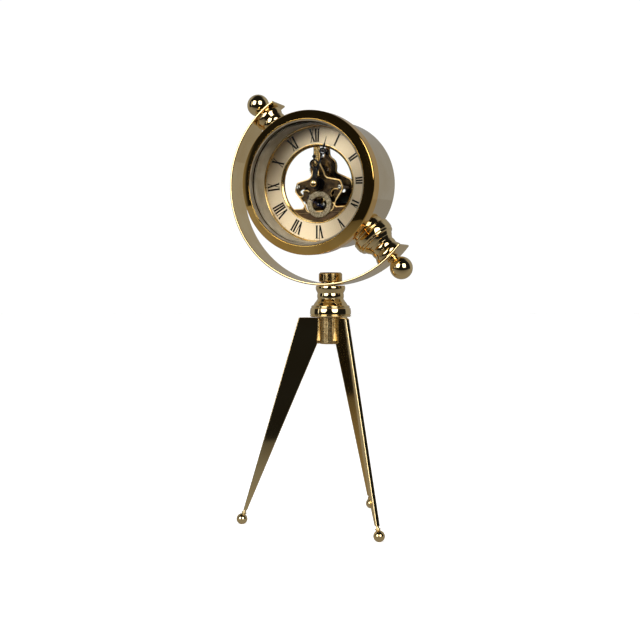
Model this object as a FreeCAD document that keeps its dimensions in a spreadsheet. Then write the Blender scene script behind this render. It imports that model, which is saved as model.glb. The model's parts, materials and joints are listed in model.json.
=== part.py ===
"""Skeleton table clock: a tripod stand, a C-shaped arm on a clamp, and a round clock drum that
hangs between two turned spindles inside the arm.

World frame: the floor is z = 0, the column is the Z axis, the arm stands in the XZ plane and the
dial looks along -Y.  Everything inside the arm is drawn in the clock's own frame: X to the right,
Y up and Z out of the dial, with its origin where the spindles' axis crosses the drum's axis.
"""
import FreeCAD, Part
import math
import os

from FreeCAD import Placement, Rotation, Vector
import Sketcher

doc = FreeCAD.newDocument("SkeletonClock")
sheet = doc.addObject("Spreadsheet::Sheet", "Dims")

# name, value (mm, degrees or a count), what it is
DIMENSIONS = [
    ("foot_circle_r", 65.6, "feet from the column's axis"),
    ("foot_ball_r", 4.05, "ball foot"),
    ("foot_sink", 0.15, "flat ground under each ball"),
    ("tripod_turn", 21.0, "first leg from -X, about Z"),
    ("leg_thick", 3.0, "blade thickness"),
    ("leg_top_r", 23.6, "outer end of the blade's top edge"),
    ("leg_root_r", 5.6, "blade's seat in the hub"),
    ("hub_r", 8.6, "grooved hub"),
    ("hub_top", 153.5, "hub's top face above the floor"),
    ("hub_long", 20.0, "hub's height"),
    ("stud_r", 2.5, "threaded stud through the hub, column and arm"),
    ("run_gap", 0.06, "radial clearance of a running fit"),
    ("baluster_long", 23.2, "turned spindle, flange to collar"),
    ("flange_r", 15.2, "spindle's wide end"),
    ("collar_r", 10.9, "spindle's narrow end"),
    ("neck_r", 9.7, "spindle's neck"),
    ("arm_r", 74.8, "arm band, outer radius"),
    ("arm_thick", 1.6, "arm band"),
    ("arm_wide", 24.0, "arm band, front to back"),
    ("arm_centre_x", -2.0, "arm's centre from the column"),
    ("arm_past", 10.0, "arm band past each spindle, degrees"),
    ("spindle_angle", 47.6, "spindles' axis below the horizontal, degrees"),
    ("knob_r", 8.7, "clamp knob"),
    ("knob_high", 7.2, "clamp knob"),
    ("boss_high", 1.7, "boss between drum and spindle"),
    ("finial_r", 8.35, "ball at each end of the spindles"),
    ("finial_out", 9.2, "ball's centre outside the arm band"),
    ("rod_r", 2.0, "tie rod through each spindle"),
    ("drum_r", 47.3, "drum case, outside"),
    ("drum_wall", 1.5, "drum case"),
    ("drum_front", 33.0, "drum mouth in front of the spindles"),
    ("drum_back", 15.4, "drum's rear edge behind the spindles"),
    ("drum_pitch", 4.0, "drum turned about the spindles at rest, degrees"),
    ("dial_roll", 2.0, "dial turned in the drum, degrees"),
    ("bezel_r", 51.5, "bezel, outside"),
    ("bezel_lip_r", 43.5, "bezel opening"),
    ("bezel_crest", 41.5, "front of the bezel"),
    ("bezel_back", 28.6, "rear of the bezel"),
    ("dial_level", 20.0, "face of the chapter ring"),
    ("chapter_in_r", 28.9, "chapter ring"),
    ("chapter_out_r", 41.0, "chapter ring"),
    ("opening_r", 26.8, "opening in the dial"),
    ("rehaut_r", 42.2, "grey wall between glass and dial, inside"),
    ("plate_front", 17.0, "face of the front plate"),
    ("plate_thick", 1.4, "movement plates"),
    ("plate_gap", 17.0, "between the movement plates"),
    ("seconds_drop", 15.0, "seconds arbor below the centre"),
    ("train_module", 0.3, "gear module, centre to seconds"),
    ("motion_module", 0.48, "gear module, minute to hour"),
    ("centre_teeth", 64, "centre wheel"),
    ("third_pinion_teeth", 8, "third pinion"),
    ("third_teeth", 60, "third wheel"),
    ("seconds_teeth", 8, "seconds pinion"),
    ("cannon_teeth", 12, "cannon pinion"),
    ("minute_teeth", 36, "minute wheel"),
    ("minute_pinion_teeth", 12, "minute pinion"),
    ("hour_teeth", 48, "hour wheel"),
    ("battery_r", 7.1, "AA cell"),
    ("battery_long", 50.2, "AA cell"),
]


class Size:
    """A number that remembers the sheet expression it is worked out with."""

    def __init__(self, value, text=None):
        self.value = float(value)
        self.text = f"{value}" if text is None else text

    def __add__(self, other):
        other = size(other)
        return Size(self.value + other.value, f"({self.text} + {other.text})")

    def __sub__(self, other):
        other = size(other)
        return Size(self.value - other.value, f"({self.text} - {other.text})")

    def __mul__(self, other):
        other = size(other)
        return Size(self.value * other.value, f"({self.text} * {other.text})")

    def __truediv__(self, other):
        other = size(other)
        return Size(self.value / other.value, f"({self.text} / {other.text})")

    def __neg__(self):
        return Size(-self.value, f"(-1 * {self.text})")

    __radd__ = __add__
    __rmul__ = __mul__

    def __rsub__(self, other):
        return size(other) - self


def size(number):
    return number if isinstance(number, Size) else Size(number)


class Dims:
    """Every driving dimension, by its name in the sheet."""


d = Dims()
for row, (name, value, note) in enumerate(DIMENSIONS, start=1):
    sheet.set(f"A{row}", name)
    sheet.set(f"B{row}", str(value))
    sheet.setAlias(f"B{row}", name)
    sheet.set(f"C{row}", note)
    setattr(d, name, Size(value, f"Dims.{name}"))
doc.recompute()

parts = []


def keep(shape_object, label, place=None):
    """Label a finished sub-part, put it in its place and list it for export."""
    shape_object.Label = label
    if place is not None:
        shape_object.Placement = place
    parts.append(shape_object)
    return shape_object


def bind(target, path, number):
    """Set a property from a plain number, or by the sheet where it comes from there."""
    target.setExpression(path, size(number).text)


# ---- sketches ----------------------------------------------------------------------------------

def sketch_on(body, plane, offset=0.0):
    sketch = body.newObject("Sketcher::SketchObject", f"{body.Name}_sketch")
    role = [o for o in body.Origin.OriginFeatures if o.Role == plane][0]
    sketch.AttachmentSupport = [(role, "")]
    sketch.MapMode = "FlatFace"
    bind(sketch, "AttachmentOffset.Base.z", offset)
    return sketch


def pin(sketch, geometry, point, x, y):
    """Hold one point of the sketch at x, y from the sketch's origin."""
    for kind, number in (("DistanceX", size(x)), ("DistanceY", size(y))):
        at = sketch.addConstraint(Sketcher.Constraint(kind, -1, 1, geometry, point, number.value))
        bind(sketch, f"Constraints[{at}]", number)


def add_outline(sketch, points):
    """A closed loop.  A point (x, y, r) starts an arc of radius r to the next point, bulging to
    the right of the way there where r is positive and to its left where r is negative."""
    edges = []
    for here, there in zip(points, points[1:] + points[:1]):
        a = Vector(size(here[0]).value, size(here[1]).value, 0)
        b = Vector(size(there[0]).value, size(there[1]).value, 0)
        if len(here) == 2:
            edges.append(sketch.addGeometry(Part.LineSegment(a, b), False))
            continue
        r = size(here[2])
        chord = b - a
        rise = math.sqrt(max(r.value ** 2 - (chord.Length / 2) ** 2, 0.0))
        side = Vector(chord.y, -chord.x, 0).normalize() * (1 if r.value > 0 else -1)
        middle = (a + b) * 0.5 + side * (abs(r.value) - rise)
        edges.append(sketch.addGeometry(Part.Arc(a, middle, b), False))
    return edges


def add_loop(sketch, points):
    """The loop's edges, joined end to end, with each corner held by the sheet."""
    edges = add_outline(sketch, points)
    starts = []
    for edge, point in zip(edges, points):
        corner = Vector(size(point[0]).value, size(point[1]).value, 0)
        first = sketch.getPoint(edge, 1)
        starts.append(1 if (first - corner).Length < 1e-6 else 2)
    for i, edge in enumerate(edges):
        after = (i + 1) % len(edges)
        sketch.addConstraint(
            Sketcher.Constraint("Coincident", edge, 3 - starts[i], edges[after], starts[after]))
    for edge, start, point in zip(edges, starts, points):
        pin(sketch, edge, start, point[0], point[1])
        if len(point) == 3:
            at = sketch.addConstraint(
                Sketcher.Constraint("Radius", edge, abs(size(point[2]).value)))
            turned_out = size(point[2])
            bind(sketch, f"Constraints[{at}]", turned_out if turned_out.value > 0 else -turned_out)


def add_circle(sketch, x, y, r):
    x, y, r = size(x), size(y), size(r)
    circle = sketch.addGeometry(
        Part.Circle(Vector(x.value, y.value, 0), Vector(0, 0, 1), r.value), False)
    pin(sketch, circle, 3, x, y)
    at = sketch.addConstraint(Sketcher.Constraint("Radius", circle, r.value))
    bind(sketch, f"Constraints[{at}]", r)


# ---- solids ------------------------------------------------------------------------------------

def new_body(label):
    return doc.addObject("PartDesign::Body", label)


def turned(label, profile, place=None):
    """A lathe piece about Z: the profile's points are (radius, height)."""
    body = new_body(label)
    sketch = sketch_on(body, "XZ_Plane")
    add_loop(sketch, profile)
    turn = body.newObject("PartDesign::Revolution", f"{label}_turned")
    turn.Profile = sketch
    turn.ReferenceAxis = (sketch, ["V_Axis"])
    turn.Angle = 360
    body.Tip = turn
    return keep(body, label, place)


def pad(body, level, thick, outline=None, circles=()):
    """A flat layer, from level up, with the outline's shape, or its first circle's."""
    sketch = sketch_on(body, "XY_Plane", level)
    if outline:
        add_loop(sketch, outline)
    for x, y, r in circles:
        add_circle(sketch, x, y, r)
    layer = body.newObject("PartDesign::Pad", f"{body.Name}_pad")
    layer.Profile = sketch
    bind(layer, "Length", thick)
    body.Tip = layer
    return layer


def round_uprights(body, r):
    """Fillet every straight edge along Z of the body's last feature."""
    doc.recompute()
    base = body.Tip
    names = []
    for number, edge in enumerate(base.Shape.Edges, start=1):
        if isinstance(edge.Curve, Part.Line) and abs(edge.Curve.Direction.z) > 0.999:
            names.append(f"Edge{number}")
    fillet = body.newObject("PartDesign::Fillet", f"{body.Name}_rounds")
    fillet.Base = (base, names)
    bind(fillet, "Radius", r)
    body.Tip = fillet


def plate(label, level, thick, outline=None, circles=(), rounds=None, place=None):
    body = new_body(label)
    pad(body, level, thick, outline, circles)
    if rounds is not None:
        round_uprights(body, rounds)
    return keep(body, label, place)


def cylinder(name, r, high, place=None):
    solid = doc.addObject("Part::Cylinder", name)
    bind(solid, "Radius", r)
    bind(solid, "Height", high)
    if place is not None:
        solid.Placement = place
    return solid


def block(name, long, deep, high, place=None):
    solid = doc.addObject("Part::Box", name)
    bind(solid, "Length", long)
    bind(solid, "Width", deep)
    bind(solid, "Height", high)
    if place is not None:
        solid.Placement = place
    return solid


def cut(label, base, *tools):
    """The base with every tool taken away, one boolean a tool."""
    for number, tool in enumerate(tools):
        result = doc.addObject("Part::Cut", f"{label}_cut_{number}")
        result.Base = base
        result.Tool = tool
        base = result
    return base


def group(label, solids, place=None):
    """Separate solids that share one node."""
    compound = doc.addObject("Part::Compound", label)
    compound.Links = solids
    return keep(compound, label, place)


def at(x=0.0, y=0.0, z=0.0, turn=0.0, axis=Vector(0, 0, 1)):
    numbers = [size(n).value for n in (x, y, z)]
    return Placement(Vector(*numbers), Rotation(axis, size(turn).value))


def ring_profile(inner, outer, low, high):
    return [(inner, low), (outer, low), (outer, high), (inner, high)]


# ---- the frames --------------------------------------------------------------------------------

angle = math.radians(d.spindle_angle.value)
spindle_axis = Vector(math.cos(angle), 0, -math.sin(angle))
arm_centre_z = d.hub_top + d.baluster_long + d.arm_r
ARM = at(d.arm_centre_x, 0, arm_centre_z)
CLOCK = (
    ARM
    * Placement(Vector(), Rotation(spindle_axis, d.drum_pitch.value))
    * Placement(Vector(), Rotation(Vector(0, 1, 0), -d.dial_roll.value))
    * Placement(Vector(), Rotation(Vector(1, 0, 0), 90))
)
DRUM = (
    ARM
    * Placement(Vector(), Rotation(spindle_axis, d.drum_pitch.value))
    * Placement(Vector(), Rotation(Vector(1, 0, 0), 90))
)


def along_spindle(sign, distance):
    """A frame on the spindles' axis, seen from the arm's centre, with Z pointing outwards."""
    out = spindle_axis * sign
    return Placement(out * size(distance).value, Rotation(Vector(0, 0, 1), out))


# ---- stand -------------------------------------------------------------------------------------

LEGS = (("left", 180.0), ("front", -60.0), ("rear", 60.0))
leg_foot_r = d.foot_circle_r - 1.0
leg_foot_z = 10.4
foot_centre_z = d.foot_ball_r - d.foot_sink
floor_block = block("floor_block", 300, 300, 20, at(-150, -150, -20))

for side, bearing in LEGS:
    turn = at(turn=bearing + d.tripod_turn.value)
    blade = new_body(f"leg_{side}_blade")
    sketch = sketch_on(blade, "XZ_Plane")
    add_loop(sketch, [
        (d.leg_root_r, d.hub_top - 0.4),
        (d.leg_top_r, d.hub_top - 0.4),
        (leg_foot_r, leg_foot_z),
        (leg_foot_r - 2.8, leg_foot_z),
        (d.hub_r + 0.6, d.hub_top - d.hub_long + 1.5),
        (d.leg_root_r, d.hub_top - d.hub_long + 1.5),
    ])
    layer = blade.newObject("PartDesign::Pad", f"leg_{side}_pad")
    layer.Profile = sketch
    layer.Midplane = True
    bind(layer, "Length", d.leg_thick)
    blade.Tip = layer
    blade.Placement = turn

    lean = Placement(Vector(0, 0, 0), Rotation(Vector(0, 1, 0), -19))
    ball = turned(f"foot_{side}_turning", [
        (0, -d.foot_ball_r),
        (0, 7.4),
        (1.1, 7.4),
        (1.1, 5.3),
        (1.95, 5.3),
        (1.55, 3.742, -d.foot_ball_r),
    ])
    parts.remove(ball)
    ball.Placement = turn * at(d.foot_circle_r, 0, foot_centre_z) * lean
    keep(cut(f"foot_{side}", ball, floor_block), f"foot_{side}")
    keep(cut(f"leg_{side}", blade, ball), f"leg_{side}")

# The nut sits in a pocket under the hub, with room round it for a thin box key.
nut_pocket_r = 5.2
nut_seat_z = d.hub_top - d.hub_long + 6.0
hub = turned("hub_turning", [
    (nut_pocket_r, d.hub_top - d.hub_long),
    (d.hub_r - 1, d.hub_top - d.hub_long),
    (d.hub_r, d.hub_top - d.hub_long + 1),
    (d.hub_r, d.hub_top),
    (d.stud_r + d.run_gap, d.hub_top),
    (d.stud_r + d.run_gap, nut_seat_z),
    (nut_pocket_r, nut_seat_z),
])
parts.remove(hub)
slots = [
    block(f"hub_slot_{side}", 20, d.leg_thick, d.hub_long,
          at(turn=bearing + d.tripod_turn.value)
          * at(d.leg_root_r, -d.leg_thick / 2, d.hub_top - d.hub_long + 1.5))
    for side, bearing in LEGS
]
for slot in slots:
    bind(slot, "Height", d.hub_long - 1.9)
keep(cut("hub", hub, *slots), "hub")

washer = turned("hub_washer",
                ring_profile(d.stud_r + d.run_gap, 5.1, nut_seat_z - 1.0, nut_seat_z))
nut = plate("hub_nut", nut_seat_z - 5.0, 4.0,
            outline=[(4.6 * math.cos(math.radians(a)), 4.6 * math.sin(math.radians(a)))
                     for a in range(0, 360, 60)],
            circles=[(0, 0, d.stud_r + 0.02)])
for loose in (washer, nut):
    parts.remove(loose)
group("hub_nut_and_washer", [washer, nut])
turned("clamp_stud", [
    (0, nut_seat_z - 5.7),
    (d.stud_r - 0.5, nut_seat_z - 5.7),
    (d.stud_r, nut_seat_z - 5.2),
    (d.stud_r, d.hub_top + 31.0),
    (0, d.hub_top + 31.0),
])


def baluster(bore):
    """Flange at height 0, collar at the top: rings, a flared cove, a neck and a round collar."""
    long = d.baluster_long
    return [
        (bore, 0),
        (d.flange_r - 0.8, 0),
        (d.flange_r, 0.8),
        (d.flange_r, 4.7),
        (d.flange_r - 0.8, 5.5),
        (d.flange_r - 1.3, 6.9),
        (d.flange_r - 2.4, 7.2, -5.0),
        (d.neck_r + 1.9, 11.3, -9.0),
        (d.neck_r, long - 8.4),
        (d.neck_r, long - 6.2),
        (d.neck_r + 0.4, long - 5.4, 3.2),
        (d.collar_r - 0.5, long),
        (bore, long),
    ]


turned("column", baluster(d.stud_r + d.run_gap), at(z=d.hub_top))

# ---- arm ---------------------------------------------------------------------------------------

arm_mid_r = d.arm_r - d.arm_thick
arm_start = math.radians(180 - d.spindle_angle.value - d.arm_past.value)
arm_end = math.radians(-d.spindle_angle.value + d.arm_past.value)


def on_arm(radius, bearing):
    return (radius * math.cos(bearing), radius * math.sin(bearing))


band = new_body("arm_band")
sketch = sketch_on(band, "XZ_Plane")
outer_arc = Part.ArcOfCircle(
    Part.Circle(Vector(), Vector(0, 0, 1), d.arm_r.value), arm_start, arm_end + 2 * math.pi)
inner_arc = Part.ArcOfCircle(
    Part.Circle(Vector(), Vector(0, 0, 1), arm_mid_r.value), arm_start, arm_end + 2 * math.pi)
outer = sketch.addGeometry(outer_arc, False)
inner = sketch.addGeometry(inner_arc, False)
ends = []
for point in (1, 2):
    ends.append(sketch.addGeometry(
        Part.LineSegment(sketch.getPoint(outer, point), sketch.getPoint(inner, point)), False))
    sketch.addConstraint(Sketcher.Constraint("Coincident", ends[-1], 1, outer, point))
    sketch.addConstraint(Sketcher.Constraint("Coincident", ends[-1], 2, inner, point))
for arc, radius in ((outer, d.arm_r), (inner, arm_mid_r)):
    sketch.addConstraint(Sketcher.Constraint("Coincident", arc, 3, -1, 1))
    number = sketch.addConstraint(Sketcher.Constraint("Radius", arc, radius.value))
    bind(sketch, f"Constraints[{number}]", radius)
strip = band.newObject("PartDesign::Pad", "arm_band_pad")
strip.Profile = sketch
strip.Midplane = True
bind(strip, "Length", d.arm_wide)
band.Tip = strip

drill = d.rod_r + d.run_gap
arm_holes = [
    cylinder(f"arm_hole_{end}", drill, 8, along_spindle(sign, d.arm_r - 5.0))
    for end, sign in (("upper", -1), ("lower", 1))
]
arm_holes.append(cylinder(
    "arm_hole_clamp", d.stud_r + d.run_gap, 8, at(-d.arm_centre_x, 0, -d.arm_r - 3.0)))
keep(cut("arm", band, *arm_holes), "arm", ARM)

seat_long = 3.0
arm_bore = cylinder("arm_bore", arm_mid_r, 60,
                    Placement(Vector(0, 30, 0), Rotation(Vector(1, 0, 0), 90)))
for end, sign in (("upper", -1), ("lower", 1)):
    blank = turned(f"pivot_seat_{end}_turning",
                   ring_profile(drill, d.collar_r - 1.2, 0, seat_long),
                   along_spindle(sign, d.drum_r + d.boss_high + d.baluster_long + 0.1))
    parts.remove(blank)
    seat = doc.addObject("Part::Common", f"pivot_seat_{end}")
    seat.Base = blank
    seat.Tool = arm_bore
    keep(seat, f"pivot_seat_{end}", ARM)

washer_top = 0.9
washer_blank = turned("clamp_washer_turning",
                      ring_profile(d.stud_r + d.run_gap, 7.2, -arm_mid_r - 1.0,
                                   -arm_mid_r + washer_top),
                      at(-d.arm_centre_x))
parts.remove(washer_blank)
clamp_washer = doc.addObject("Part::Common", "clamp_washer")
clamp_washer.Base = washer_blank
clamp_washer.Tool = arm_bore
keep(clamp_washer, "clamp_washer", ARM)

knob_foot = arm_centre_z - arm_mid_r + washer_top + 0.05
turned("clamp_knob", [
    (d.stud_r + d.run_gap, 0),
    (d.knob_r - 0.3, 0),
    (d.knob_r, 0.3),
    (d.knob_r, d.knob_high - 1.2),
    (d.knob_r - 1.2, d.knob_high),
    (0, d.knob_high),
    (0, d.knob_high - 1.6),
    (d.stud_r + d.run_gap, d.knob_high - 1.6),
], at(z=knob_foot))

# ---- drum --------------------------------------------------------------------------------------

drum_in_r = d.drum_r - d.drum_wall
flange_at = d.drum_r + d.boss_high

case = turned("drum_case_turning", [
    (drum_in_r, -d.drum_back + 2.0),
    (d.drum_r - 3.0, -d.drum_back + 2.0),
    (d.drum_r - 3.0, -d.drum_back),
    (d.drum_r - 0.4, -d.drum_back),
    (d.drum_r, -d.drum_back + 0.4),
    (d.drum_r, d.drum_front),
    (drum_in_r, d.drum_front),
])
parts.remove(case)


def in_drum(place):
    """The same place, told in the drum's frame instead of the arm's."""
    return Placement(Vector(), Rotation(Vector(1, 0, 0), -90)) * place


case_holes = [
    cylinder(f"case_hole_{end}", d.rod_r, 20, in_drum(along_spindle(sign, drum_in_r - 10)))
    for end, sign in (("upper", -1), ("lower", 1))
]
keep(cut("drum_case", case, *case_holes), "drum_case", DRUM)

drum_core = cylinder("drum_core", d.drum_r, 80, at(z=-40))
for end, sign in (("upper", -1), ("lower", 1)):
    blank = turned(f"boss_{end}_turning",
                   ring_profile(d.rod_r, 13.2, 0, 8.0),
                   in_drum(along_spindle(sign, flange_at - 8.0)))
    parts.remove(blank)
    keep(cut(f"boss_{end}", blank, drum_core), f"boss_{end}", DRUM)
    turned(f"spindle_{end}", baluster(d.rod_r), DRUM * in_drum(along_spindle(sign, flange_at)))
    turned(f"tie_rod_{end}", [
        (0, 0),
        (3.2, 0),
        (3.2, 1.3),
        (d.rod_r, 1.3),
        (d.rod_r, d.arm_r - drum_in_r + 8.0),
        (0, d.arm_r - drum_in_r + 8.0),
    ], DRUM * in_drum(along_spindle(sign, drum_in_r - 1.5)))
    turned(f"finial_{end}", [
        (d.rod_r, -d.finial_out + 0.15),
        (4.4, -d.finial_out + 0.15),
        (4.4, -d.finial_out + 0.9),
        (3.6, -7.534, d.finial_r),
        (d.finial_r, 0, d.finial_r),
        (0, d.finial_r),
        (0, -2.4),
        (d.rod_r, -2.4),
    ], DRUM * in_drum(along_spindle(sign, d.arm_r + d.finial_out)))

turned("rear_glass", [(0, -13.4), (44.0, -13.4), (44.0, -11.8), (0, -11.8)], DRUM)
turned("rear_glass_ring", ring_profile(42.0, drum_in_r, -11.8, -10.2), DRUM)
turned("mouth_gasket", ring_profile(45.2, drum_in_r, 25.0, 28.0), DRUM)

# ---- clock insert ------------------------------------------------------------------------------

crest_r = d.bezel_r - 3.5
turned("bezel", [
    (47.6, d.bezel_back),
    (d.bezel_r - 0.3, d.bezel_back),
    (d.bezel_r, d.bezel_back + 0.3),
    (d.bezel_r, d.bezel_crest - 5.2, 7.0),
    (crest_r, d.bezel_crest, 9.0),
    (d.bezel_lip_r, d.bezel_crest - 2.6),
    (d.bezel_lip_r, d.bezel_crest - 4.2),
    (45.1, d.bezel_crest - 4.2),
    (45.1, d.drum_front + 0.4),
    (47.6, d.drum_front + 0.4),
], CLOCK)
glass_face = d.bezel_crest - 4.2
turned("front_glass", [(0, glass_face - 2.0), (45.0, glass_face - 2.0),
                       (45.0, glass_face), (0, glass_face)], CLOCK)
turned("carrier_ring", ring_profile(43.62, 45.08, d.dial_level - 3.0, glass_face - 2.0), CLOCK)
turned("rehaut", ring_profile(d.rehaut_r, 43.6, d.dial_level, glass_face - 2.0), CLOCK)
turned("dial_rim", [
    (d.chapter_out_r, d.dial_level), (d.rehaut_r, d.dial_level),
    (d.rehaut_r, d.dial_level + 1.4), (d.chapter_out_r + 0.4, d.dial_level + 0.6),
], CLOCK)
turned("chapter_ring", ring_profile(d.chapter_in_r, 43.6, d.dial_level - 1.0, d.dial_level), CLOCK)
turned("inner_ring", [
    (d.opening_r, d.dial_level - 2.6),
    (d.chapter_in_r + 1.6, d.dial_level - 2.6),
    (d.chapter_in_r + 1.6, d.dial_level - 1.0),
    (d.chapter_in_r, d.dial_level - 1.0),
    (d.chapter_in_r, d.dial_level + 0.3),
    (d.opening_r, d.dial_level - 1.2),
], CLOCK)

rear_face = d.plate_front - d.plate_thick - d.plate_gap
front_level = d.plate_front - d.plate_thick
rear_level = rear_face - d.plate_thick


def mirrored(half):
    """A closed outline from its right half, listed from the top down."""
    return half + [(-x, y) for x, y in reversed(half)]


third_reach = d.train_module.value * (d.centre_teeth.value + d.third_pinion_teeth.value) / 2
second_reach = d.train_module.value * (d.third_teeth.value + d.seconds_teeth.value) / 2
drop = d.seconds_drop.value
third_y = -(third_reach ** 2 - second_reach ** 2 + drop ** 2) / (2 * drop)
third_x = -math.sqrt(third_reach ** 2 - third_y ** 2)
motion_y = d.motion_module * (d.cannon_teeth + d.minute_teeth) / 2
pillar_spots = ((0.0, 24.8), (16.4, -3.4), (-16.6, -1.4))
arbor_r = 1.0
pivot_r = 0.5
pivot_gap = pivot_r + d.run_gap
bush_r = 4.8

plate("front_plate", front_level, d.plate_thick,
      outline=mirrored([(2.2, 27.6), (2.2, 14.0), (4.6, 9.5), (6.0, 4.6), (17.6, 1.8),
                        (19.4, -4.6), (13.2, -13.0), (10.4, -20.4)]),
      circles=[(0, 0, bush_r + 0.02), (0, motion_y, pivot_gap), (third_x, third_y, pivot_gap),
               (0, -d.seconds_drop, pivot_gap)]
      + [(x, y, 1.0) for x, y in pillar_spots], rounds=1.1, place=CLOCK)
plate("rear_plate", rear_level, d.plate_thick,
      outline=mirrored([(2.2, 27.6), (2.2, 21.0), (6.4, 18.0), (7.6, 13.5), (6.4, 9.0),
                        (18.6, 3.0), (20.4, -9.0), (17.0, -17.5), (10.4, -20.4)]),
      circles=[(0, 0, arbor_r + d.run_gap), (0, motion_y, pivot_gap),
               (third_x, third_y, pivot_gap),
               (0, -d.seconds_drop, pivot_gap), (11.6, -4.9, 1.6)]
      + [(x, y, 1.0) for x, y in pillar_spots], rounds=1.1, place=CLOCK)
pillars = []
screws = []
for number, (x, y) in enumerate(pillar_spots):
    pillars.append(turned(f"pillar_{number}", [
        (0, rear_face), (1.9, rear_face), (1.9, rear_face + 1.5), (1.4, rear_face + 2.2),
        (1.4, front_level - 2.2), (1.9, front_level - 1.5), (1.9, front_level), (0, front_level),
    ], at(x, y)))
    for face, level, way in (("front", d.plate_front, 1), ("rear", rear_level, -1)):
        screws.append(turned(f"{face}_screw_{number}", [
            (0, level), (0, level + 0.9 * way), (1.5, level + 0.9 * way),
            (1.7, level + 0.6 * way), (1.7, level),
        ], at(x, y)))
for loose in pillars + screws:
    parts.remove(loose)
group("movement_pillars", pillars, CLOCK)
group("movement_screws", screws, CLOCK)
plate("top_bridge", front_level, d.dial_level - 2.6 - front_level,
      outline=[(-3.0, 27.6), (3.0, 27.6), (3.0, 30.2), (-3.0, 30.2)], rounds=0.6, place=CLOCK)
seconds_ring_r = 10.0
turned("seconds_ring", ring_profile(5.6, seconds_ring_r, d.plate_front, d.plate_front + 1.2),
       CLOCK * at(0, -d.seconds_drop))

box_top = -20.4
box_back = 3.0
box_deep = 13.9
box_half = d.battery_long / 2 + 0.9
outer_box = block("battery_box_outside", box_half * 2 + 1.6, 15.8, box_deep,
                  at(-box_half - 0.8, box_top - 15.8, box_back))
inner_box = block("battery_box_inside", box_half * 2, 14.8, box_deep,
                  at(-box_half, box_top - 15.3, box_back - 0.6))
keep(cut("battery_box", outer_box, inner_box), "battery_box", CLOCK)
turned("battery", [
    (0, 0), (d.battery_r, 0), (d.battery_r, d.battery_long - 1.2), (2.6, d.battery_long - 1.2),
    (2.6, d.battery_long), (0, d.battery_long),
], CLOCK * at(-d.battery_long / 2, box_top - 7.9, box_back + 6.15, 90, Vector(0, 1, 0)))
contacts = []
for number, x in enumerate((-box_half, box_half - 0.4)):
    contacts.append(block(f"contact_{number}", 0.4, 8, 9, at(x, box_top - 12, box_back + 2)))
group("battery_contacts", contacts, CLOCK)
plate("circuit_board", rear_face, 1.2, outline=[(5.0, -19.8), (18.4, -19.8), (18.4, -9.6), (5.0, -9.6)],
      place=CLOCK)
turned("drive_coil", [(0.9, 0), (2.8, 0), (2.8, 12.0), (0.9, 12.0)],
       CLOCK * at(5.6, -17.0, rear_face + 4.0, 90, Vector(0, 1, 0)))
plate("drive_core", rear_face + 3.4, 1.2, outline=[(3.6, -17.6), (19.2, -17.6), (19.2, -16.4), (3.6, -16.4)],
      place=CLOCK)

# ---- wheels ------------------------------------------------------------------------------------


def toothed(body, level, thick, teeth, module, bore, spokes=0):
    """A wheel layer: a rim with one straight-sided tooth, repeated round the arbor."""
    root = module * (teeth / 2 - 1.0)
    tip = module * (teeth / 2 + 0.75)
    windows = []
    if spokes:
        reach = root * 0.58
        windows = [(reach.value * math.cos(2 * math.pi * k / spokes),
                    reach.value * math.sin(2 * math.pi * k / spokes), root * 0.27)
                   for k in range(spokes)]
    pad(body, level, thick, circles=[(0, 0, root)] + ([(0, 0, bore)] if bore else []) + windows)
    tooth = pad(body, level, thick, outline=[
        (root - module * 0.5, -module * 0.62),
        (tip, -module * 0.24),
        (tip, module * 0.24),
        (root - module * 0.5, module * 0.62),
    ])
    doc.recompute()
    pattern = body.newObject("PartDesign::PolarPattern", f"{body.Name}_teeth")
    pattern.Originals = [tooth]
    axis = [o for o in body.Origin.OriginFeatures if o.Role == "Z_Axis"][0]
    pattern.Axis = (axis, [""])
    pattern.Angle = 360
    bind(pattern, "Occurrences", teeth)
    body.Tip = pattern


def wheel(label, level, thick, teeth, module, bore, place, spokes=0, pipe=None):
    """A wheel or pinion; pipe is (level, length, radius) of an arbor that is one with it."""
    body = new_body(label)
    toothed(body, level, thick, teeth, module, bore, spokes)
    if pipe:
        pad(body, pipe[0], pipe[1],
            circles=[(0, 0, pipe[2])] + ([(0, 0, bore)] if bore else []))
    return keep(body, label, CLOCK * place)


half_tooth = {name: 180.0 / getattr(d, name).value for name in
              ("third_pinion_teeth", "seconds_teeth", "minute_teeth", "hour_teeth")}
third_bearing = math.degrees(math.atan2(third_y, third_x))
seconds_bearing = math.degrees(math.atan2(-drop - third_y, -third_x))
third_at = at(third_x, third_y)
seconds_at = at(0, -d.seconds_drop)
minute_at = at(0, motion_y)

train_level = 4.0
third_level = 9.0
motion_level = 11.4
hour_level = motion_level + 2.2
hour_module = motion_y * 2 / (d.minute_pinion_teeth + d.hour_teeth)
tube_r = 2.2
hour_hand_level = 23.6
minute_hand_level = 25.4
seconds_hand_level = d.plate_front + 1.8
minute_turn = -19.8
hour_turn = -1.6
seconds_turn = 59.0

post = (rear_level, d.plate_front - rear_level, pivot_r)
wheel("centre_wheel", train_level, 0.8, d.centre_teeth, d.train_module, arbor_r,
      at(turn=third_bearing), spokes=5)
wheel("third_arbor", train_level - 0.6, 2.4, d.third_pinion_teeth, d.train_module, None,
      third_at * at(turn=third_bearing + 180 + half_tooth["third_pinion_teeth"]), pipe=post)
wheel("third_wheel", third_level, 0.8, d.third_teeth, d.train_module, pivot_r,
      third_at * at(turn=seconds_bearing), spokes=5)
wheel("seconds_arbor", third_level - 0.6, 2.4, d.seconds_teeth, d.train_module, None,
      seconds_at * at(turn=seconds_bearing + 180 + half_tooth["seconds_teeth"]),
      pipe=(rear_level, seconds_hand_level + 0.9 - rear_level, pivot_r))
wheel("minute_arbor", motion_level, 1.6, d.cannon_teeth, d.motion_module, None, at(turn=90),
      pipe=(-9.6, minute_hand_level + 11.2, arbor_r))
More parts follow.
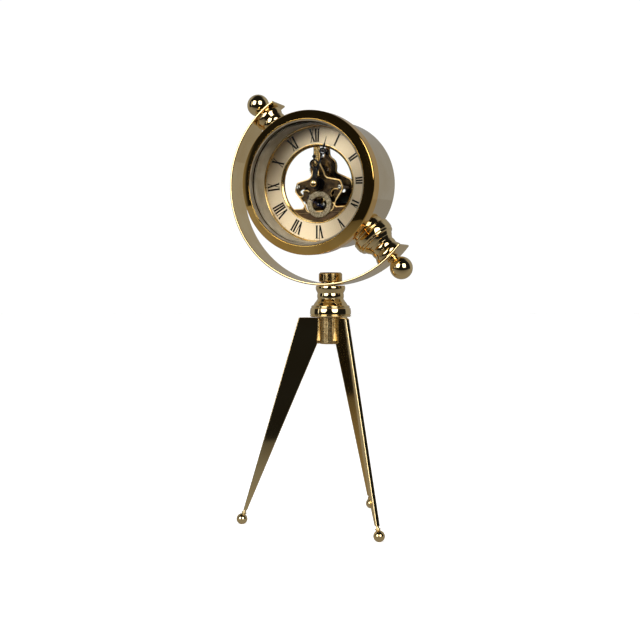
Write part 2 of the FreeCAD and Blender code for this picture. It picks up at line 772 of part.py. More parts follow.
wheel("minute_wheel", motion_level + 0.3, 0.8, d.minute_teeth, d.motion_module, pivot_r,
      minute_at * at(turn=-90 + half_tooth["minute_teeth"]), spokes=5)
wheel("motion_arbor", hour_level - 0.4, 1.6, d.minute_pinion_teeth, hour_module, None,
      minute_at * at(turn=-90), pipe=post)
wheel("hour_wheel", hour_level, 0.8, d.hour_teeth, hour_module, arbor_r + d.run_gap,
      at(turn=90 + half_tooth["hour_teeth"]),
      pipe=(hour_level, hour_hand_level + 0.9 - hour_level, tube_r))
turned("set_knob", [
    (arbor_r, -9.6), (4.6, -9.6), (5.0, -9.2), (5.0, -5.4), (4.6, -5.0), (2.2, -5.0),
    (2.2, -3.4), (arbor_r, -3.4),
], CLOCK)
turned("centre_bush", [
    (tube_r + d.run_gap, front_level), (bush_r, front_level), (bush_r, d.plate_front + 0.8),
    (3.8, d.plate_front + 2.6), (tube_r + d.run_gap, d.plate_front + 2.6),
], CLOCK)
turned("hand_cap", [
    (0, minute_hand_level + 1.6), (arbor_r, minute_hand_level + 1.6),
    (arbor_r, minute_hand_level + 0.7), (2.6, minute_hand_level + 0.7),
    (2.6, minute_hand_level + 1.4, 2.4), (0.9, minute_hand_level + 2.9),
    (0, minute_hand_level + 2.9),
], CLOCK)


def pointer(label, level, long, hub_r, bore, moon, moon_r, foot, neck, place):
    """A hand with a round hub, a tapering shaft, an open moon and a fine tip."""
    body = new_body(label)
    thick = 0.7
    pad(body, level, thick, circles=[(0, 0, hub_r), (0, 0, bore)])
    pad(body, level, thick, outline=[(-foot, hub_r - 0.4), (foot, hub_r - 0.4),
                                     (neck, moon - moon_r + 0.3), (-neck, moon - moon_r + 0.3)])
    pad(body, level, thick, circles=[(0, moon, moon_r), (0, moon + moon_r * 0.18, moon_r * 0.62)])
    pad(body, level, thick, outline=[(-neck, moon + moon_r - 0.3), (neck, moon + moon_r - 0.3),
                                     (0.14, long), (-0.14, long)])
    return keep(body, label, CLOCK * place)


pointer("hour_hand", hour_hand_level, 28.4, 3.8, tube_r, 14.0, 2.9, 0.9, 0.6, at(turn=hour_turn))
pointer("minute_hand", minute_hand_level, 34.8, 3.0, arbor_r, 24.0, 2.3, 0.8, 0.5,
        at(turn=minute_turn))
second = new_body("seconds_hand")
pad(second, seconds_hand_level, 0.4, circles=[(0, 0, 1.5), (0, 0, pivot_r)])
pad(second, seconds_hand_level, 0.4, outline=[(-0.32, 1.3), (0.32, 1.3), (0.12, 10.6),
                                              (-0.12, 10.6)])
pad(second, seconds_hand_level, 0.4, outline=[(-0.4, -1.2), (-0.8, -4.2), (0.8, -4.2),
                                              (0.4, -1.2)])
keep(second, "seconds_hand", CLOCK * seconds_at * at(turn=seconds_turn))

# ---- checks and files --------------------------------------------------------------------------

doc.recompute()
failed = [o.Label for o in doc.Objects if "Invalid" in o.State or "Error" in o.State]
if failed:
    raise SystemExit(f"failed objects: {failed}")
os.makedirs("parts", exist_ok=True)
for part in parts:
    shape = part.Shape
    if shape.isNull() or not shape.isValid() or not shape.Solids:
        raise SystemExit(f"bad shape: {part.Label}")
    print(f"{part.Label:18s} {len(shape.Solids)} solid(s) {shape.Volume:10.1f} mm3")
    shape.exportStep(os.path.join("parts", f"{part.Label}.step"))
print(len(parts), "nodes")
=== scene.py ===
# %% [markdown]
# # A gold skeleton table clock
# The clock stands on three blades that meet in a grooved hub. A C-shaped arm is clamped above
# the hub, and a round drum hangs between two turned spindles inside the arm. This lesson builds
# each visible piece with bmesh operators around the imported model, then gives every piece the
# finish it has in a workshop: gold plate, brass, lacquer, glass and steel.

# %% Load the frame
import json
import math

import bmesh
import bpy
from mathutils import Matrix, Vector


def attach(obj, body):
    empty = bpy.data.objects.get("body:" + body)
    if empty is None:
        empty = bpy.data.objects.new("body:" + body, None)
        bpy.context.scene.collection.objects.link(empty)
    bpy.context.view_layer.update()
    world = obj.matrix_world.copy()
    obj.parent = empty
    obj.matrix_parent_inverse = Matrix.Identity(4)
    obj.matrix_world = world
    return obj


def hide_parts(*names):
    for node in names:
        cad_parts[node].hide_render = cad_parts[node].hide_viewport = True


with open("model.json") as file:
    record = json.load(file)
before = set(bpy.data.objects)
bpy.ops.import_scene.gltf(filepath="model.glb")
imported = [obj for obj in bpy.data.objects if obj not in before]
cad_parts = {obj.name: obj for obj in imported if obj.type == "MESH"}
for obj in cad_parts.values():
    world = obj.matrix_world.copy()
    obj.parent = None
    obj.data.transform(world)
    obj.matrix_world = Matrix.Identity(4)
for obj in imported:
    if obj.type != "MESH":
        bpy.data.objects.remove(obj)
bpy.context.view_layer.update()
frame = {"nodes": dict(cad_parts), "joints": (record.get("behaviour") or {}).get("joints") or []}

# %% [markdown]
# ## Places
# Each piece is drawn in millimetres about its own axis and then put in its place. The places
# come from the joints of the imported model: the drum hangs on one axis, and the clock's own
# frame has X to the right, Y up and Z out of the dial, with the hands turning about Z.

# %% Frames of the drum, the dial and the spindles
MM = 0.001
joints = {joint["name"]: joint for joint in frame["joints"]}


def frame_at(origin, out, up):
    """A matrix whose Z points along out and whose Y is as near to up as it can be."""
    z_axis = Vector(out).normalized()
    y_axis = (Vector(up) - z_axis * Vector(up).dot(z_axis)).normalized()
    turn = Matrix((y_axis.cross(z_axis), y_axis, z_axis)).transposed().to_4x4()
    return Matrix.Translation(Vector(origin)) @ turn


dial_out = Vector(joints["insert_pull"]["axis"])
centre = Vector(joints["minute_turn"]["pos_m"])
seconds_spot = Vector(joints["seconds_turn"]["pos_m"])
CLOCK = frame_at(centre, dial_out, centre - seconds_spot)
spindle_axis = Vector(joints["drum_tilt"]["axis"])
arm_centre = Vector(joints["drum_tilt"]["pos_m"])
ARM = Matrix.Translation(arm_centre)


def turn_about(axis, degrees, size=4):
    return Matrix.Rotation(math.radians(degrees), size, axis)


def shift(x, y, z):
    """A move in mm."""
    return Matrix.Translation((x * MM, y * MM, z * MM))


def on_spindle(sign, distance):
    """A place on the spindles' axis, a distance in mm from the middle, looking outwards."""
    out = spindle_axis * sign
    return frame_at(arm_centre + out * distance * MM, out, (0, 1, 0))


def on_dial(x, y, turn=0.0):
    """A place in the clock's frame, in mm and degrees."""
    return CLOCK @ shift(x, y, 0) @ turn_about("Z", turn)


print("dial looks along", tuple(round(part, 3) for part in dial_out))

# %% [markdown]
# ## Colours and nodes
# A colour is written as the hex value a screen shows, and Blender's shaders want linear light,
# so one function turns the one into the other. A second small function adds any node with its
# settings and its links. Patterns are sized from real millimetres.

# %% Colour and node helpers
NOISE, RANGE, MIX = "ShaderNodeTexNoise", "ShaderNodeMapRange", "ShaderNodeMix"
MATH, VECTOR_MATH = "ShaderNodeMath", "ShaderNodeVectorMath"
PRINCIPLED, OUTPUT = "ShaderNodeBsdfPrincipled", "ShaderNodeOutputMaterial"
COLOURS = {"data_type": "RGBA"}


def linear(code, alpha=1.0):
    """A hex colour such as f3d99a as linear light."""
    parts = [int(code[i:i + 2], 16) / 255 for i in (0, 2, 4)]
    light = [p / 12.92 if p <= 0.04045 else ((p + 0.055) / 1.055) ** 2.4 for p in parts]
    return (*light, alpha)


def put(tree, kind, settings=None, **inputs):
    """Add a node. An input is a value, a socket, or a node whose first output is meant. In an
    input's name _ is a space, and a name such as _6 is the input's number."""
    made = tree.nodes.new(kind)
    for name, value in (settings or {}).items():
        setattr(made, name, value)
    for name, value in inputs.items():
        key = int(name[1:]) if name[0] == "_" else name.replace("_", " ")
        if isinstance(value, bpy.types.Node):
            value = value.outputs[0]
        if isinstance(value, bpy.types.NodeSocket):
            tree.links.new(value, made.inputs[key])
        else:
            made.inputs[key].default_value = value
    return made


def per_mm(size_mm):
    """The Scale of a noise whose grains are about this many millimetres."""
    return 1000.0 / size_mm


def start_material(name):
    material = bpy.data.materials.new(name)
    material.use_nodes = True
    material.node_tree.nodes.clear()
    return material, material.node_tree


def finish(name, light, dark, metallic, rough, grain_mm, patch_mm=14.0, bump_um=0.0,
           coat=0.0, stretch=(1, 1, 1), ior=1.5):
    """A surface with two near colours in soft patches, a spread of roughness in fine grains
    and, where bump_um is set, a relief of that many micrometres."""
    material, tree = start_material(name)
    place = put(tree, "ShaderNodeTexCoord").outputs["Object"]
    grain_place = put(tree, "ShaderNodeMapping", Vector=place, Scale=stretch)
    patches = put(tree, NOISE, Vector=place, Scale=per_mm(patch_mm), Detail=3.0)
    grains = put(tree, NOISE, Vector=grain_place, Scale=per_mm(grain_mm), Detail=4.0,
                 Roughness=0.6)
    share = put(tree, RANGE, Value=patches, From_Min=0.36, From_Max=0.64)
    colour = put(tree, MIX, COLOURS, _0=share, _6=linear(light), _7=linear(dark))
    roughness = put(tree, RANGE, Value=grains, From_Min=0.3, From_Max=0.7, To_Min=rough[0],
                    To_Max=rough[1])
    shader = put(tree, PRINCIPLED, Base_Color=colour.outputs[2], Metallic=metallic,
                 Roughness=roughness, IOR=ior, Coat_Weight=coat, Coat_Roughness=0.05)
    if bump_um:
        bump = put(tree, "ShaderNodeBump", Height=grains, Strength=1.0,
                   Distance=bump_um * 1e-6)
        tree.links.new(bump.outputs[0], shader.inputs["Normal"])
    put(tree, OUTPUT, Surface=shader)
    return material


# %% [markdown]
# ## Finishes
# Gold plate on turned and buffed brass: a mirror with a warm colour and only the faintest haze
# of buffing. Brass that was only tumbled is duller and browner. Lacquer, sleeve and rubber
# are non-metals whose gloss comes from a smooth skin.

# %% Metals
# Plate on buffed brass: a warm mirror with the faintest haze.
gold = finish("gold_plate_buffed", "f4dca6", "efd298", 1.0, (0.03, 0.075), 0.5, 20.0, 0.02)
# The bezel's plate is thicker, so its mirror is a deeper yellow.
gold_rich = finish("gold_plate_bezel", "f3c874", "e9b962", 1.0, (0.03, 0.07), 0.5, 20.0, 0.02)
# Fine rims are buffed less: soft, unbroken highlights.
gold_rim = finish("gold_plate_rim", "e6c88c", "d2ae6c", 1.0, (0.10, 0.2), 0.3, 8.0, 0.1)
# Plate over a cast skin: speckles that glitter.
gold_cast = finish("gold_plate_on_casting", "e9cd94", "b48f58", 1.0, (0.2, 0.34), 0.5, 2.5, 6.0)
# Plate on a spun tube: pale, with soft-edged reflections.
gold_wide = finish("gold_plate_spun_tube", "eadab9", "e3d0aa", 1.0, (0.06, 0.11), 0.6, 25.0,
                   0.1)
# Brass from the tumbler: dull and brown.
brass = finish("brass_tumbled", "6e5430", "3c2c17", 1.0, (0.2, 0.34), 0.25, 3.0, 0.8)
# Plate faces darkened in a bath, so that only their edges stand out.
plate_brass = finish("plate_brass_darkened", "44331a", "20160b", 0.8, (0.3, 0.5), 0.2, 3.0,
                     0.8)
# Edges rubbed with a burnisher: bright yellow lines.
bright_edge = finish("brass_edge_burnished", "f0cf90", "d8ab62", 1.0, (0.26, 0.38), 0.3, 4.0)
# Bright turned steel: a neutral grey sheen.
steel = finish("steel_bright", "b9b4aa", "8f897c", 1.0, (0.18, 0.3), 0.2, 3.0, 0.2)
# Steel blued by heat: nearly black until it catches a lamp.
blued = finish("steel_blued", "1a2340", "10162b", 1.0, (0.2, 0.3), 0.15, 3.0)
# Lacquered wire wound side by side: fine brown ridges.
copper = finish("copper_winding", "5e3d20", "3d2613", 1.0, (0.25, 0.4), 0.2, 2.0, 4.0,
                stretch=(1, 1, 6))

# %% Skins and mouldings
# Silvered and then frosted metal, with figures too small to read drawn as speckle.
speckled = finish("seconds_ring_frosted", "a6977b", "554a37", 0.9, (0.34, 0.5), 0.35, 0.8, 3.0)
# Sprayed satin lacquer: an even warm grey.
grey_liner = finish("liner_satin_lacquer", "968a75", "80745f", 0.0, (0.42, 0.55), 0.4, 12.0,
                    0.5, ior=1.3)
# Thin baked lacquer: black with little gloss.
black = finish("black_lacquer", "060505", "0b0908", 0.0, (0.25, 0.4), 0.3, 3.0, 0.3, ior=1.25)
# Moulding with a bronze metal coat: a dull brown glow.
dark_moulding = finish("moulding_dark_bronze", "4a3620", "3a2916", 0.7, (0.25, 0.4), 0.3, 6.0,
                       1.0)
# Shrunk film sleeve: dark, under a clear skin.
sleeve = finish("cell_sleeve", "33333a", "26262b", 0.0, (0.25, 0.4), 0.3, 10.0, 0.5, coat=0.3)
# Pressed glass-cloth board: matt dark green.
laminate = finish("board_laminate", "1d2015", "14160f", 0.0, (0.35, 0.5), 0.3, 3.0, 2.0)
# Moulded rubber: matt black.
rubber = finish("seal_rubber", "16161a", "0e0e10", 0.0, (0.6, 0.8), 0.3, 5.0, 3.0)

# %% Grain the chapter ring


def make_champagne(name):
    """Metal grained in circles round the dial's centre, so its sheen opens like a fan."""
    material, tree = start_material(name)
    place = put(tree, "ShaderNodeTexCoord").outputs["Object"]
    from_centre = put(tree, VECTOR_MATH, {"operation": "SUBTRACT"}, _0=place, _1=centre)
    outward = put(tree, "ShaderNodeVectorTransform",
                  {"vector_type": "VECTOR", "convert_from": "OBJECT", "convert_to": "WORLD"},
                  Vector=from_centre)
    reach = put(tree, VECTOR_MATH, {"operation": "LENGTH"}, _0=from_centre).outputs["Value"]
    rounds = put(tree, NOISE, {"noise_dimensions": "1D"}, W=reach, Scale=per_mm(0.12),
                 Detail=3.0)
    patches = put(tree, NOISE, Vector=place, Scale=per_mm(0.5), Detail=4.0)
    half_patches = put(tree, MATH, {"operation": "MULTIPLY"}, _0=patches, _1=0.5)
    mixed = put(tree, MATH, {"operation": "MULTIPLY_ADD"}, _0=rounds, _1=0.5, _2=half_patches)
    colour = put(tree, MIX, COLOURS, _0=mixed, _6=linear("d9c8ac"), _7=linear("c2ac89"))
    roughness = put(tree, RANGE, Value=mixed, From_Min=0.3, From_Max=0.7, To_Min=0.38,
                    To_Max=0.5)
    bump = put(tree, "ShaderNodeBump", Height=mixed, Strength=1.0, Distance=1.2e-6)
    shader = put(tree, PRINCIPLED, Base_Color=colour.outputs[2], Metallic=1.0,
                 Roughness=roughness, Anisotropic=0.85, Tangent=outward, Normal=bump)
    put(tree, OUTPUT, Surface=shader)
    return material


champagne = make_champagne("dial_champagne_grained")
print("finishes:", len(bpy.data.materials))


# %% [markdown]
# ## Glass
# The two flat glasses are thin mineral glass with an anti-reflection film, so they mirror much
# less than plain glass does. Lamps have to reach the dial behind it, so the rays that look for
# a lamp pass straight through.

# %% Glass
def make_glass(name):
    material, tree = start_material(name)
    place = put(tree, "ShaderNodeTexCoord").outputs["Object"]
    smears = put(tree, NOISE, Vector=place, Scale=per_mm(9.0), Detail=3.0)
    haze = put(tree, RANGE, Value=smears, From_Min=0.4, From_Max=0.7, To_Max=0.03)
    pane = put(tree, PRINCIPLED, Base_Color=linear("fefffe"), Roughness=haze, IOR=1.12,
               Transmission_Weight=1.0)
    clear = put(tree, "ShaderNodeBsdfTransparent", Color=linear("fefefd"))
    lamp_ray = put(tree, "ShaderNodeLightPath").outputs["Is Shadow Ray"]
    both = put(tree, "ShaderNodeMixShader", _0=lamp_ray, _1=pane, _2=clear)
    put(tree, OUTPUT, Surface=both)
    return material


glass = make_glass("mineral_glass_coated")

# %% [markdown]
# ## Tools of the workshop
# Most of the clock is turned on a lathe. The turning tool here draws half an outline with
# straight runs and arcs, breaks its corners as a file would, and spins it round the axis.
# Flat pieces are sawn from a drawn outline, get their holes, and have their edges broken
# too. Broken edges matter more than anything else on plated metal, since they carry the thin
# bright lines that show where one face ends.

# %% Cut, turn and join
WELD_MM = 0.0005


def block_of(bm, size, middle):
    """A block of a size about a middle, in mm."""
    made = bmesh.ops.create_cube(bm, size=1.0)["verts"]
    bmesh.ops.scale(bm, vec=size, verts=made)
    bmesh.ops.translate(bm, vec=middle, verts=made)
    return made


def swing(bm, verts, axis, degrees):
    """Turn part of a bmesh about the origin."""
    bmesh.ops.rotate(bm, cent=(0, 0, 0), matrix=turn_about(axis, degrees, 3), verts=verts)


def pull_up(bm, faces, height):
    """Extrude faces along Z."""
    grown = bmesh.ops.extrude_face_region(bm, geom=faces)
    bmesh.ops.translate(bm, vec=(0, 0, height), verts=[
        item for item in grown["geom"] if isinstance(item, bmesh.types.BMVert)])


def round_corners(bm, corners, width, segments=5):
    bmesh.ops.bevel(bm, geom=corners, offset=width, offset_type="OFFSET", affect="VERTICES",
                    segments=segments, profile=0.5, material=-1, clamp_overlap=True)


def merge_into(bm, part):
    """Add a finished part to a bmesh."""
    bmesh.ops.recalc_face_normals(part, faces=part.faces)
    spare = bpy.data.meshes.new("spare")
    part.to_mesh(spare)
    part.free()
    bm.from_mesh(spare)
    bpy.data.meshes.remove(spare)


# %% Draw a line of runs and arcs
ARC_STEP = math.radians(7)


def draw(bm, points, closed):
    """Join points (radius, height). A third number bends the way to the next point into an
    arc of that radius: above zero it bulges to the right, below zero to the left."""
    last = bm.verts.new((points[0][0], 0, points[0][1]))
    corners = [last]
    ahead = points[1:] + points[:1] if closed else points[1:]
    for here, there in zip(points, ahead):
        back_home = closed and there is points[0]
        if len(here) == 3:
            last = bend(bm, last, here, there)
            if back_home:
                bmesh.ops.weld_verts(bm, targetmap={last: corners[0]})
        elif back_home:
            bm.edges.new((last, corners[0]))
        else:
            grown = bmesh.ops.extrude_vert_indiv(bm, verts=[last])
            last = grown["verts"][0]
            last.co = (there[0], 0, there[1])
        if not back_home:
            corners.append(last)
    return corners


def bend(bm, vertex, here, there):
    """Carry the line's last vertex round an arc to the next point."""
    start, end = Vector((here[0], here[1])), Vector((there[0], there[1]))
    chord = end - start
    bulge = 1 if here[2] > 0 else -1
    radius = abs(here[2])
    rise = math.sqrt(max(radius ** 2 - (chord.length / 2) ** 2, 0.0))
    side = Vector((chord.y, -chord.x)).normalized() * bulge
    middle = (start + end) / 2 - side * rise
    angle = 2 * math.asin(min(1.0, chord.length / 2 / radius))
    swept = bmesh.ops.spin(
        bm, geom=[vertex], cent=(middle.x, 0, middle.y), axis=(0, -1, 0),
        angle=angle * bulge, steps=max(3, math.ceil(angle / ARC_STEP)), use_duplicate=False)
    last = [item for item in swept["geom_last"] if isinstance(item, bmesh.types.BMVert)][0]
    last.co = (there[0], 0, there[1])
    return last


def is_corner(vertex):
    if len(vertex.link_edges) != 2:
        return False
    ways = [edge.other_vert(vertex).co - vertex.co for edge in vertex.link_edges]
    return math.pi - ways[0].angle(ways[1]) > math.radians(20)


def break_corners(bm, corners, width):
    """Round the corners of a drawn line before it is spun or filled."""
    found = [vertex for vertex in corners if vertex.is_valid and is_corner(vertex)]
    if found and width:
        round_corners(bm, found, width, segments=3)


def break_edges(bm, width, segments=3, sharper_than=40):
    """Bevel every sharp edge and return the new faces."""
    sharp = [edge for edge in bm.edges
             if edge.is_manifold and edge.calc_face_angle(0) > math.radians(sharper_than)]
    cut = bmesh.ops.bevel(bm, geom=sharp, offset=width, offset_type="OFFSET", affect="EDGES",
                          segments=segments, profile=0.5, material=-1, clamp_overlap=True)
    return cut["faces"]


# %% Put a finished piece in its place
SMOOTH_BELOW = math.radians(38)
piece_count = []


def to_object(name, bm):
    mesh = bpy.data.meshes.new(name)
    bm.to_mesh(mesh)
    bm.free()
    made = bpy.data.objects.new(name, mesh)
    bpy.context.scene.collection.objects.link(made)
    return made


def place_piece(name, bm, body, materials, place, stands_for=()):
    """Turn the bmesh into an object of the clock, in its place and on its body."""
    bmesh.ops.remove_doubles(bm, verts=bm.verts, dist=WELD_MM)
    bmesh.ops.recalc_face_normals(bm, faces=bm.faces)
    bmesh.ops.transform(bm, matrix=place @ Matrix.Scale(MM, 4), verts=bm.verts)
    piece = to_object(name, bm)
    mesh = piece.data
    for material in materials if isinstance(materials, list) else [materials]:
        mesh.materials.append(material)
    mesh.shade_smooth()
    mesh.set_sharp_from_angle(angle=SMOOTH_BELOW)
    piece.modifiers.new("even_faces", "WEIGHTED_NORMAL").keep_sharp = True
    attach(piece, body)
    if stands_for:
        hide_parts(*stands_for)
    piece_count.append(name)
    print(f"{name}: {len(mesh.polygons)} faces")


# %% The lathe


def spin_round(bm, steps):
    bmesh.ops.spin(bm, geom=bm.verts[:] + bm.edges[:], cent=(0, 0, 0), axis=(0, 0, 1),
                   angle=2 * math.pi, steps=steps, use_merge=True, use_duplicate=False)
    bmesh.ops.remove_doubles(bm, verts=bm.verts, dist=WELD_MM)


def turn_shape(points, closed=True, ease=0.15, steps=96):
    """A turned solid about Z from half its outline. An open outline ends on the axis."""
    bm = bmesh.new()
    break_corners(bm, draw(bm, points, closed), ease)
    spin_round(bm, steps)
    return bm


def turned(name, points, body, slot, material, place, stands_for=(), **how):
    place_piece(name, turn_shape(points, **how), body, material, place, stands_for)


def ring(inner, outer, low, high):
    return [(inner, low), (outer, low), (outer, high), (inner, high)]


# %% The saw


def saw_shape(outline, low, high, rounds=0.0, holes=(), windows=(), ease=0.0,
              edge_material=None):
    """A flat piece from one level up to another, with windows, which are outlines too, and
    round holes, each as x, y and radius."""
    bm = bmesh.new()
    corners = []
    for loop in (outline, *windows):
        made = [bm.verts.new((x, y, low)) for x, y in loop]
        for here, there in zip(made, made[1:] + made[:1]):
            bm.edges.new((here, there))
        corners += made
    if rounds:
        round_corners(bm, corners, rounds)
    for x, y, radius in holes:
        bmesh.ops.create_circle(bm, cap_ends=False, segments=32, radius=radius,
                                matrix=Matrix.Translation((x, y, low)))
    bmesh.ops.triangle_fill(bm, use_beauty=True, use_dissolve=True, edges=bm.edges[:])
    pull_up(bm, bm.faces[:], high - low)
    bmesh.ops.recalc_face_normals(bm, faces=bm.faces)
    if ease:
        for face in break_edges(bm, ease, segments=2):
            if edge_material is not None:
                face.material_index = edge_material
    return bm


def mirrored(half):
    """A closed outline from its right half, listed from the top down."""
    return half + [(-x, y) for x, y in reversed(half)]


# %% [markdown]
# ## Spindles and column
# The column and the two spindles are the same turning: a broad flange with a bead at its foot,
# two fine steps, a barrel-shaped neck, a slanting shoulder and a rounded collar. One outline
# makes all three, so they match as the real ones do, since they came off the same lathe.

# %% Turn the column and the two spindles
STUD_R, ROD_R = 2.5, 2.0
HUB_TOP = 153.5


def baluster(bore):
    return [
        (bore, 0.0), (14.5, 0.0), (14.9, 0.35, 0.62), (14.9, 1.45), (14.7, 1.7),
        (15.2, 2.0, 14.0), (14.9, 6.2), (14.5, 6.6), (14.2, 6.8, 1.3), (13.2, 8.6),
        (12.7, 8.7), (12.2, 9.6), (11.4, 10.9), (10.9, 11.3), (9.7, 13.3),
        (9.65, 13.5, 6.5), (9.65, 17.5), (10.8, 20.0, 4.5), (10.6, 23.2), (bore, 23.2),
    ]


turned("column_turned", baluster(STUD_R + 0.06), "stand", "gold_plate", gold, shift(0, 0, HUB_TOP),
       ["column"], ease=0.12, steps=128)
SPINDLE_FOOT = 49.0
for end, sign in (("upper", -1), ("lower", 1)):
    turned(f"spindle_{end}_turned", baluster(ROD_R), "drum", "gold_plate", gold,
           on_spindle(sign, SPINDLE_FOOT), [f"spindle_{end}"], ease=0.12, steps=128)

# %% [markdown]
# ## Finials, bosses and seats
# A ball closes each tie rod outside the arm. Inside, a low boss seats each spindle on the
# round drum, and a small seat carries the spindle's collar on the arm. A ball is one arc from
# its neck to its pole, which spins into a truer sphere than a stock one with a flat foot.

# %% Turn the finials, bosses and seats
ARM_OUT, ARM_IN = 74.8, 73.2
BALL_R, BALL_OUT = 8.35, 9.2
for end, sign in (("upper", -1), ("lower", 1)):
    turned(f"finial_{end}_turned", [
        (ROD_R, 0.15 - BALL_OUT), (4.6, 0.15 - BALL_OUT), (4.6, 0.9 - BALL_OUT),
        (3.9, 1.2 - BALL_OUT), (3.6, -7.534, BALL_R), (BALL_R, 0, BALL_R), (0, BALL_R),
        (0, -2.4), (ROD_R, -2.4),
    ], "drum", "gold_plate", gold, on_spindle(sign, ARM_OUT + BALL_OUT), [f"finial_{end}"],
        steps=96)
    turned(f"boss_{end}_turned", ring(ROD_R, 13.2, 45.4, 49.0), "drum", "gold_plate", gold,
           on_spindle(sign, 0), [f"boss_{end}"], ease=0.3)
    turned(f"pivot_seat_{end}_turned", ring(ROD_R + 0.06, 9.7, 72.3, 73.25), "arm",
           "gold_plate", gold, on_spindle(sign, 0), [f"pivot_seat_{end}"])

# %% [markdown]
# ## Hub, knob and stud
# The hub is a short grooved bar that the blades are soldered into. Fifteen shallow flutes run
# down its speckled cast skin, and a pocket underneath hides the nut. A rounded fillet of solder
# lies on each side of a blade where it meets the hub. The clamp knob is a plain turned button.

# %% Make the fluted hub and the solder fillets
HUB_R, HUB_LONG = 8.6, 20.0
POCKET_R, POCKET_DEEP = 5.2, 6.0
FLUTES, FLUTE_DEEP = 15, 0.3


def fluted_hub():
    """Spin the hub, then draw bands of its side inwards as flutes."""
    bm = turn_shape([(POCKET_R, 0), (HUB_R - 1, 0), (HUB_R, 1), (HUB_R, HUB_LONG),
                     (STUD_R + 0.06, HUB_LONG), (STUD_R + 0.06, POCKET_DEEP),
                     (POCKET_R, POCKET_DEEP)], ease=0.2, steps=FLUTES * 4)
    for vertex in bm.verts:
        reach = Vector((vertex.co.x, vertex.co.y)).length
        if reach > POCKET_R + 0.4:
            bearing = math.atan2(vertex.co.y, vertex.co.x)
            depth = FLUTE_DEEP * max(0.0, math.cos(FLUTES * bearing)) ** 1.5
            vertex.co.x *= (reach - depth) / reach
            vertex.co.y *= (reach - depth) / reach
    return bm


place_piece("hub_fluted", fluted_hub(), "stand", gold_cast,
            shift(0, 0, HUB_TOP - HUB_LONG), ["hub"])
TRIPOD = {"left": 201.0, "front": -39.0, "rear": 81.0}
for side, bearing in TRIPOD.items():
    for hand, mark in ((-1, "a"), (1, "b")):
        bead = turn_shape([(0, 0), (0.8, 0.3), (0.95, 9.0), (1.3, 14.0), (1.75, 17.2),
                           (1.3, 18.9), (0, 19.3)], closed=False, ease=0.6, steps=24)
        place_piece(f"solder_{side}_{mark}", bead, "stand", gold_rim,
                    turn_about("Z", bearing) @ shift(8.75, hand * 1.75, HUB_TOP - 0.6)
                    @ turn_about("X", 180))

# %% Turn the clamp knob and its washer
KNOB_R, KNOB_HIGH, KNOB_FOOT = 8.7, 7.2, 179.25
turned("clamp_knob_turned", [
    (STUD_R + 0.06, 0), (KNOB_R - 0.5, 0), (KNOB_R - 0.35, 0.5), (KNOB_R, 0.75),
    (KNOB_R, KNOB_HIGH - 1.1), (KNOB_R - 1.1, KNOB_HIGH), (0, KNOB_HIGH),
    (0, KNOB_HIGH - 1.6), (STUD_R + 0.06, KNOB_HIGH - 1.6),
], "knob", "gold_plate", gold_rim, shift(0, 0, KNOB_FOOT), ["clamp_knob"], ease=0.45)

# %% [markdown]
# ## Blades and ball feet
# Each blade is sawn from 3 mm plate: wide where it meets the hub and narrow at the foot. All
# its edges are broken, and the bright lines down the blades come from those bevels. A ball
# foot on a short neck is screwed into each blade's end and is ground flat where it stands.

# %% Saw the blades and turn the feet
LEG_THICK, LEG_TOP_R, LEG_ROOT_R = 3.0, 23.6, 5.6
LEG_FOOT_R, LEG_FOOT_Z = 64.6, 10.4
FOOT_CIRCLE_R, FOOT_BALL_R, FOOT_SINK, FOOT_LEAN = 65.6, 4.05, 0.15, -19


def blade_shape():
    """The blade, drawn flat: across is away from the column and up is up."""
    bm = bmesh.new()
    outline = [(LEG_ROOT_R, HUB_TOP - 0.4), (LEG_TOP_R, HUB_TOP - 0.4),
               (LEG_FOOT_R, LEG_FOOT_Z), (LEG_FOOT_R - 2.8, LEG_FOOT_Z),
               (HUB_R + 0.6, HUB_TOP - HUB_LONG + 1.5), (LEG_ROOT_R, HUB_TOP - HUB_LONG + 1.5)]
    corners = [bm.verts.new((x, y, -LEG_THICK / 2)) for x, y in outline]
    bm.faces.new(corners)
    round_corners(bm, [corners[1]], 1.0)
    pull_up(bm, bm.faces[:], LEG_THICK)
    bmesh.ops.recalc_face_normals(bm, faces=bm.faces)
    break_edges(bm, 0.42, segments=4)
    return bm


def foot_shape():
    """A ball on a neck, leaning with the blade, ground flat underneath."""
    bm = turn_shape([
        (0, -FOOT_BALL_R, FOOT_BALL_R), (FOOT_BALL_R, 0, FOOT_BALL_R), (1.7, 3.676),
        (1.45, 4.0), (1.5, 4.25), (1.95, 4.45), (1.95, 5.15), (1.2, 5.35), (1.1, 7.4),
        (0, 7.4),
    ], closed=False, ease=0.1, steps=48)
    swing(bm, bm.verts, "Y", FOOT_LEAN)
    floor = FOOT_SINK - FOOT_BALL_R
    cut = bmesh.ops.bisect_plane(bm, geom=bm.verts[:] + bm.edges[:] + bm.faces[:],
                                 plane_co=(0, 0, floor), plane_no=(0, 0, -1),
                                 clear_outer=True)
    rim = [item for item in cut["geom_cut"] if isinstance(item, bmesh.types.BMEdge)]
    bmesh.ops.contextual_create(bm, geom=rim)
    return bm


for side, bearing in TRIPOD.items():
    outwards = turn_about("Z", bearing)
    place_piece(f"blade_{side}", blade_shape(), "stand", gold,
                outwards @ turn_about("X", 90), [f"leg_{side}"])
    place_piece(f"ball_foot_{side}", foot_shape(), "stand", gold,
                outwards @ shift(FOOT_CIRCLE_R, 0, FOOT_BALL_R - FOOT_SINK), [f"foot_{side}"])

# %% [markdown]
# ## The C-shaped arm
# The arm is one band of plate, rolled round. Spinning a small rectangle part of the way round
# the arm's centre gives the band, and two faces close its ends. Its four long edges are
# broken, which draws the double line along the rim.

